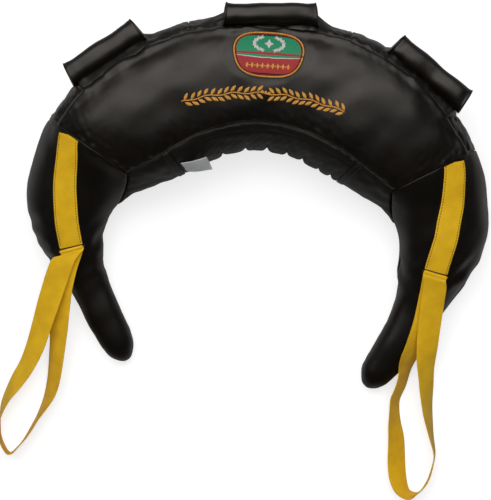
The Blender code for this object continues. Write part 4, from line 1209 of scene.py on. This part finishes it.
def add_stitches(name, kind, lines, finish, ups=None, slant=0):
    """Rows of separate stitches along lines, joined in one piece. slant turns each across its row."""
    length, gap, radius = STITCHES[kind]
    shape, faces = capsule(length, radius)
    points, polygons = [], []
    for number, line in enumerate(lines):
        total = lengths_along(line, 0)[-1]
        middles, runs = along_line(line, np.arange(length / 2, total - length / 2, length + gap))
        up = np.array([0, 0, 1.0]) if ups is None else ups[number]
        for place, run in zip(middles, runs):
            here_up = up if np.ndim(up) == 1 else up[np.argmin(np.linalg.norm(line - place, axis=1))]
            sideways = unit(np.cross(here_up, run))
            normal = np.cross(run, sideways)
            run = run * math.cos(slant) + sideways * math.sin(slant)
            start = len(points) * len(shape)
            points.append(place + shape @ np.stack([run, np.cross(normal, run), normal]))
            polygons += [tuple(start + k for k in face) for face in faces]
    made = finish_object(name, new_mesh(name, np.concatenate(points), polygons), finish)
    return settle(made, "bag")


def catmull(points, i, t):
    """A point of the smooth curve through points, t of the way from point i to the next."""
    before, here, after, beyond = [points[min(max(i + n, 0), len(points) - 1)] for n in (-1, 0, 1, 2)]
    square = 2 * before - 5 * here + 4 * after - beyond
    cube = 3 * here - before - 3 * after + beyond
    return 0.5 * (2 * here + (after - before) * t + square * t**2 + cube * t**3)


def width_direction(run, roll, along):
    """Direction across the webbing: level and square to its run, then rolled about the run."""
    if roll is None:
        return along
    flat = unit(np.cross(run, [0, 0, 1.0]))
    flat = flat * (-1 if flat[0] < 0 else 1)
    rolled = flat * math.cos(math.radians(roll)) + np.array([0, 0, math.sin(math.radians(roll))])
    return unit(rolled - run * (rolled @ run))


def rise_off_arm(points, clearance):
    """How far free webbing has to rise to lie that far above the arm."""
    angles, radii = polar_of(points)
    centre, half_width, half_height, level = sections(angles)
    off = np.abs(radii - centre) / (half_width + clearance)
    top = level + (half_height + clearance) * (1 - np.minimum(off, 1)**FULLNESS) ** (1 / FULLNESS)
    tips = np.where(angles > 0, LEFT_TIP_ANGLE, RIGHT_TIP_ANGLE)
    return np.where((off > 1) | (np.abs(angles) > tips), 0, np.maximum(0, top - points[..., 2]))


def blur(values, width):
    """The same values, each averaged with its neighbours."""
    kernel = np.hanning(2 * width + 3)[1:-1]
    padded = np.pad(values, width, mode="edge")
    return np.convolve(padded, kernel / kernel.sum(), mode="valid")


def build_loop(name, side, shares):
    """The hand loop: one closed band of webbing that folds round the tack's thread."""
    span_steps = 9
    axis, along, up_arm, out = strap_frame(name, side)
    fold_line = FOLD_INNER_RADIUS + WEBBING / 2
    foot = np.append(strap_plan(side, TACK_ANGLE)[0], 0)
    leaving = [axis - up_arm * lead + out * fold_line for lead in (0, LOOP_LEAD)]
    coming = [axis - up_arm * lead - out * fold_line for lead in (LOOP_LEAD, 0)]
    places = leaving + [foot + np.array(share[:3]) * LOOP_REACH for share in shares] + coming
    rolls = [None, None] + [share[3] for share in shares] + [None, None]
    widths = []
    for i, (place, roll) in enumerate(zip(places, rolls)):
        run = unit(places[min(i + 1, len(places) - 1)] - places[max(i - 1, 0)])
        askew = max(0, 1 - np.linalg.norm(place - axis) / LOOP_SKEW_LENGTH)
        widths.append(unit(width_direction(run, roll, along) * (1 - askew) + along * askew))
    spans = [(i, step / span_steps) for i in range(len(places) - 1) for step in range(span_steps)]
    points = [catmull(places, *span) for span in spans] + [places[-1]]
    directions = [unit(catmull(widths, *span)) for span in spans] + [widths[-1]]
    free_count = len(points)
    for bend in np.radians(np.linspace(0, 180, 10)[1:-1]):
        points.append(axis + (up_arm * math.sin(bend) - out * math.cos(bend)) * fold_line)
        directions.append(along)
    points, directions = np.array(points), np.array(directions)
    faces = unit(np.cross(np.roll(points, -1, 0) - np.roll(points, 1, 0), directions))
    way = np.linspace(-1, 1, 13)
    drawn = np.clip((np.abs(way) - 0.94) / 0.06, 0, 1) ** 2
    grid = points[:, None] + directions[:, None] * (way * WEBBING_WIDTH / 2)[None, :, None]
    first = np.arange(len(points)) < len(points) / 2
    clearance = LOOP_CLEARANCE + WEBBING / 2 + LOOP_RUNS_APART * first

    def held_at_fold(values, count):
        """The same values with zeros beside the fold, which stays where it is."""
        values[:count] = 0
        values[free_count - count:] = 0
        return values

    rises = held_at_fold(rise_off_arm(grid, clearance[:, None]).max(1), span_steps + 1)
    rises = held_at_fold(np.maximum(rises, blur(rises, 8)), span_steps + 1)
    grid[..., 2] += held_at_fold(blur(rises, 3), 3)[:, None]
    ripple = 0.0004 * waves(grid, 0.05, 81 + side)
    ripple *= smooth((np.linalg.norm(grid - axis, axis=-1) - 0.03) / 0.05)
    thickness = WEBBING / 2 * (1 - 0.45 * drawn)
    top, bottom = [grid + faces[:, None] * (ripple + off)[..., None] for off in (thickness, -thickness)]
    ring = np.concatenate([top, bottom[:, ::-1]], 1)
    ring[..., 2] += np.maximum(0, 0.0002 - ring[..., 2].min(1))[:, None]
    made = merge(add_grid(f"{name}_hand_loop", ring, webbing, wrap=(True, True)))
    settle(made, f"{name}_loop", [f"{name}_strap_loop"])


def build_tack(name, side):
    """The row of stitches that holds the strap's end beside the loop's fold."""
    axis, along, up_arm, out = strap_frame(name, side)
    top = axis + up_arm * (FOLD_RADIUS + SEAM_GAP + TACK_SETBACK)
    line = top + along * np.linspace(-WEBBING_WIDTH / 2, WEBBING_WIDTH / 2, 24)[:, None]
    line[:, 2] = front_height(line[:, :2], DRAPE_GAP + WEBBING) + STITCH_LIFT
    add_stitches(f"{name}_tack_stitches", "tack", [line], brown_thread, [out])


# Badge and ornament


def on_front(x, y, lift):
    """Points that far above the front leather over plan positions."""
    plan = np.stack(np.broadcast_arrays(x, y), -1).astype(float)
    heights = front_height(plan, 0)
    for place in np.ndindex(heights.shape):
        hit = front_tree.ray_cast(Vector((*plan[place], 1)), Vector((0, 0, -1)))[0]
        if hit is not None:
            heights[place] = hit.z
    return np.concatenate([plan, (heights + lift)[..., None]], -1)


def badge_point(u, v, scale):
    """Plan offsets of a square stretched to the badge: a rounded shield, widest above its middle."""
    x, y = u * np.sqrt(1 - v**2 / 2), v * np.sqrt(1 - u**2 / 2)
    reach = np.maximum(np.hypot(x, y), 1e-9)
    squarer = np.maximum(np.abs(x / reach) ** 3 + np.abs(y / reach) ** 3, 0.5) ** (-1 / 3)
    taper = 1 - 0.14 * smooth((0.3 - y) / 1.3)
    return x * squarer * taper * scale * BADGE_WIDTH / 2 * 1.03, y * squarer * scale * BADGE_HEIGHT / 2 * 1.07


def badge_patch(name, low, high, scale, lift, thickness, finish):
    """A field of the badge between two heights, draped on the front."""
    u, v = np.meshgrid(np.linspace(-1, 1, 61), np.linspace(low, high, 31), indexing="ij")
    x, y = badge_point(u, v, scale)
    top, bottom = [on_front(x, badge_middle() + y, height) for height in (lift + thickness, lift)]
    return settle(add_band(name, top, bottom, finish), "bag")


def badge_outline(scale):
    """Plan positions of the badge's outline."""
    turn = np.linspace(0, 2 * math.pi, 400)
    grow = 1 / np.maximum(np.abs(np.cos(turn)), np.abs(np.sin(turn)))
    x, y = badge_point(np.cos(turn) * grow, np.sin(turn) * grow, scale)
    return x, badge_middle() + y


def add_leaves(name, leaves, lift, finish):
    """Satin-stitched leaves draped on the front: plan place, direction and kind of each."""
    s, t = np.meshgrid(np.linspace(-1, 1, 15), np.linspace(-1, 1, 7), indexing="ij")
    _, faces = grid_faces(15, 14, (False, True))
    points, polygons = [], []
    for number, (place, heading, kind) in enumerate(leaves):
        length, width, height = LEAVES[kind]
        half = width / 2 * (1 - np.abs(s) ** 1.7)
        ahead = np.array([math.cos(heading), math.sin(heading)])
        aside = np.array([-ahead[1], ahead[0]])
        plan = np.array(place) + ahead * (s * length / 2)[..., None] + aside * (t * half)[..., None]
        ridge = height * (1 - t**2) * (1 - np.abs(s) ** 4) * (1 + 0.12 * np.sin(s * length / 0.0009 + t * 2))
        top = on_front(plan[..., 0], plan[..., 1], 0.0)
        bottom = top.copy()
        top[..., 2] += lift + ridge + 0.0001
        bottom[..., 2] += lift - 0.0002
        ring = np.concatenate([top, bottom[:, ::-1]], 1).reshape(-1, 3)
        points.append(ring)
        polygons += (faces + number * len(ring)).tolist()
    made = finish_object(name, new_mesh(name, np.concatenate(points), polygons), finish)
    return settle(merge(made, MERGE_DISTANCE / 5), "bag")


def build_badge():
    """A generic embroidered patch: rope border, green over red fields, a white rule and a laurel spray."""
    ground = badge_patch("badge_ground", -1, 1, 1.0, 0.0001, DRAPE_GAP + BADGE_FIELD, badge_cloth)
    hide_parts("front_badge")
    base = DRAPE_GAP + 0.0005
    for name, low, high, lift, thickness, finish in (
        ("badge_green_field", -0.12, 0.90, 0, BADGE_FIELD, green_thread),
        ("badge_red_field", -0.90, -0.17, 0, BADGE_FIELD, red_thread),
        ("badge_red_band", -0.02, 0.10, 0.0002, BADGE_FIELD, red_thread),
        ("badge_rule", -0.165, -0.125, 0.0002, 0.0005, white_thread),
    ):
        badge_patch(name, low, high, 0.90, base + lift, thickness, finish)
    for kind, scale, finish in (("rope", 0.955, gold_thread), ("inner_rope", 0.895, red_thread)):
        line = on_front(*badge_outline(scale), base + BADGE_FIELD)
        add_stitches(f"badge_{kind}", kind, [line], finish, slant=0.6)
    middle = badge_middle()
    high, low = middle + 0.0145, middle - 0.0155
    spray, beads = [], []
    for way in (-1, 1):
        for bend in np.radians(np.arange(-62, 60, 20)):
            place = (way * 0.0195 * math.cos(bend), high + 0.0098 * math.sin(bend))
            heading = math.atan2(math.cos(bend), -way * math.sin(bend))
            spray += [(place, heading + lean, "spray") for lean in (-0.55, 0.55)]
    spray += [((0, high), math.pi / 2, "star"), ((0, high), 0, "star_arm")]
    for k in range(-4, 5):
        beads.append(((k * BEAD_PITCH, low), math.pi / 2, "bead"))
        if k < 4:
            beads.append((((k + 0.5) * BEAD_PITCH, low), 0, "link"))
    add_leaves("badge_spray", spray, base + BADGE_FIELD, white_thread)
    add_leaves("badge_beads", beads, base + BADGE_FIELD, gold_thread)


def build_ornament():
    """A gold embroidered laurel branch along the arc below the badge."""

    def at(angle, out=0.0):
        radius = BRANCH_RADIUS + 0.0100 * (angle / 30) ** 2 + 0.0012 * math.sin(angle * 0.7)
        return polar(angle, radius + out, 0.0)[:2]

    stem = np.array([at(angle) for angle in np.linspace(29, -28, 420)])
    line = on_front(stem[:, 0], stem[:, 1], 0.0004)
    add_stitches("branch_stem", "stem", [line], gold_thread, slant=0.25)
    leaves = []
    for angle in np.concatenate([np.linspace(28, 3, 12), np.linspace(-3, -27.5, 12)]):
        inwards = math.radians(angle) + (math.pi if angle < 0 else 0)
        for way in (-1, 1):
            heading = inwards + way * LEAF_LEAN
            out = 0.0052 * math.sin(heading - math.radians(angle)) / math.sin(LEAF_LEAN)
            place = at(angle - math.degrees(math.copysign(0.0040, angle) / 0.22), out)
            leaves.append((place, heading, "branch"))
    leaves += [(at(angle, 0.001), math.pi / 2, "bud") for angle in (-1.2, 0, 1.2)]
    add_leaves("branch_leaves", leaves, 0.0, gold_thread)


def build_label():
    """The care label: a folded satin ribbon sewn in at the hem."""
    hinge = joint("label_flap")
    along, lies = Vector(hinge["axis"]).normalized(), Vector(LABEL_LIES).normalized()
    face = along.cross(lies).normalized()
    turned = Matrix((along, face.cross(along), face)).transposed().to_4x4()
    base = Matrix.Translation(Vector(hinge["pos_m"])) @ turned
    ends = skin([HEM_ANGLE - LABEL_HEM_OFFSET_ANGLE], np.array([LABEL_TURNS]))[0]
    width = float(np.linalg.norm(ends[0] - ends[1]))
    r, s = np.meshgrid(np.linspace(0.0004, LABEL_LENGTH, 40), np.linspace(-0.5, 0.5, 20), indexing="ij")
    share = r / LABEL_LENGTH
    curl = 0.0016 * np.sin(share * 3.6) + 0.0007 * np.sin(s * 5 + share * 4) * share
    plump = LABEL / 2 * np.sqrt(np.clip((1.0 - share) / 0.02, 0, 1)) * 0.9 + LABEL * 0.05
    twist = np.radians(LABEL_TWIST_ANGLE) * share
    sides = []
    for sign in (1, -1):
        across, off = s * width, curl + sign * plump
        x = across * np.cos(twist) + off * np.sin(twist)
        z = off * np.cos(twist) - across * np.sin(twist)
        sides.append(transform(np.stack([x, r, z], -1), base))
    made = add_band("care_label_ribbon", *sides, label_satin)
    settle(made, "label", ["care_label"])


def build_stage():
    """A pale floor and world, near white to the camera, a broad panel past the crown and one overhead."""
    half = 6
    corners = np.array([(-half, -half, 0), (half, -half, 0), (half, half, 0), (-half, half, 0)])
    data = new_mesh("floor", corners, [(0, 1, 2, 3)])
    n = Nodes("pale floor")
    glow = n.math("MULTIPLY", n.add("LightPath").outputs["Is Camera Ray"], 0.68)
    n.finish(Base_Color=(0.50, 0.50, 0.50, 1), Roughness=0.9, Specular_IOR_Level=0.0)
    n.finish(Emission_Color=(1, 1, 1, 1), Emission_Strength=glow)
    data.materials.append(n.material)
    floor = bpy.data.objects.new("floor", data)
    bpy.context.scene.collection.objects.link(floor)

    world = bpy.data.worlds.new("studio")
    world.use_nodes = True
    tree = world.node_tree
    background = tree.nodes["Background"].inputs
    background["Color"].default_value = (1, 1, 1, 1)
    seen = tree.nodes.new("ShaderNodeLightPath")
    strength = tree.nodes.new("ShaderNodeMapRange")
    strength.inputs["To Min"].default_value = 0.03
    strength.inputs["To Max"].default_value = 1.0
    tree.links.new(seen.outputs["Is Camera Ray"], strength.inputs["Value"])
    tree.links.new(strength.outputs["Result"], background["Strength"])
    bpy.context.scene.world = world

    add_light("key panel", (-0.45, 1.45, 2.75), (0, -0.1, 0.08), 4.7, 2.3, 80)
    fill = add_light("fill panel", (0.0, -0.3, 3.6), (0, -0.2, 0.0), 3.6, 3.6, 66)
    fill.visible_glossy = False


def add_light(name, place, target, width, height, power):
    data = bpy.data.lights.new(name, "AREA")
    data.shape = "RECTANGLE"
    data.size, data.size_y, data.energy = width, height, power
    lamp = bpy.data.objects.new(name, data)
    lamp.location = place
    lamp.rotation_euler = (Vector(target) - Vector(place)).to_track_quat("-Z", "Y").to_euler()
    bpy.context.scene.collection.objects.link(lamp)
    return lamp


def add_camera():
    """Straight above the middle of the photograph, leaning with the bag."""
    scale = 0.00135
    photo_rows = 500
    sensor = 36
    height = 3.0
    level = 0.07
    data = bpy.data.cameras.new("camera")
    data.sensor_fit = "VERTICAL"
    data.sensor_height = sensor
    data.lens = sensor * (height - level) / (photo_rows * scale)
    data.clip_end = 100
    camera = bpy.data.objects.new("camera", data)
    camera.location = (-0.0122, -0.2266, height)
    camera.rotation_euler = (0, 0, math.radians(4))
    bpy.context.scene.collection.objects.link(camera)
    bpy.context.scene.camera = camera


bpy.context.scene.view_settings.view_transform = "Standard"
add_camera()
build_stage()
finish_cad_nodes()
front_tree = build_crown()
build_inner_gussets()
build_arms()
build_filling()
build_tapes()
build_seam_edges_and_highlights()
build_hem_stitches()
for handle_name, handle_angle in HANDLES:
    build_handle(handle_name, handle_angle)
    build_skirt(handle_name, handle_angle)
for side_name, side_sign in SIDES:
    build_sewn_strap(side_name, side_sign)
    build_tack(side_name, side_sign)
build_loop("left", 1, LEFT_LOOP_SHARES)
build_loop("right", -1, RIGHT_LOOP_SHARES)
build_badge()
build_ornament()
build_label()
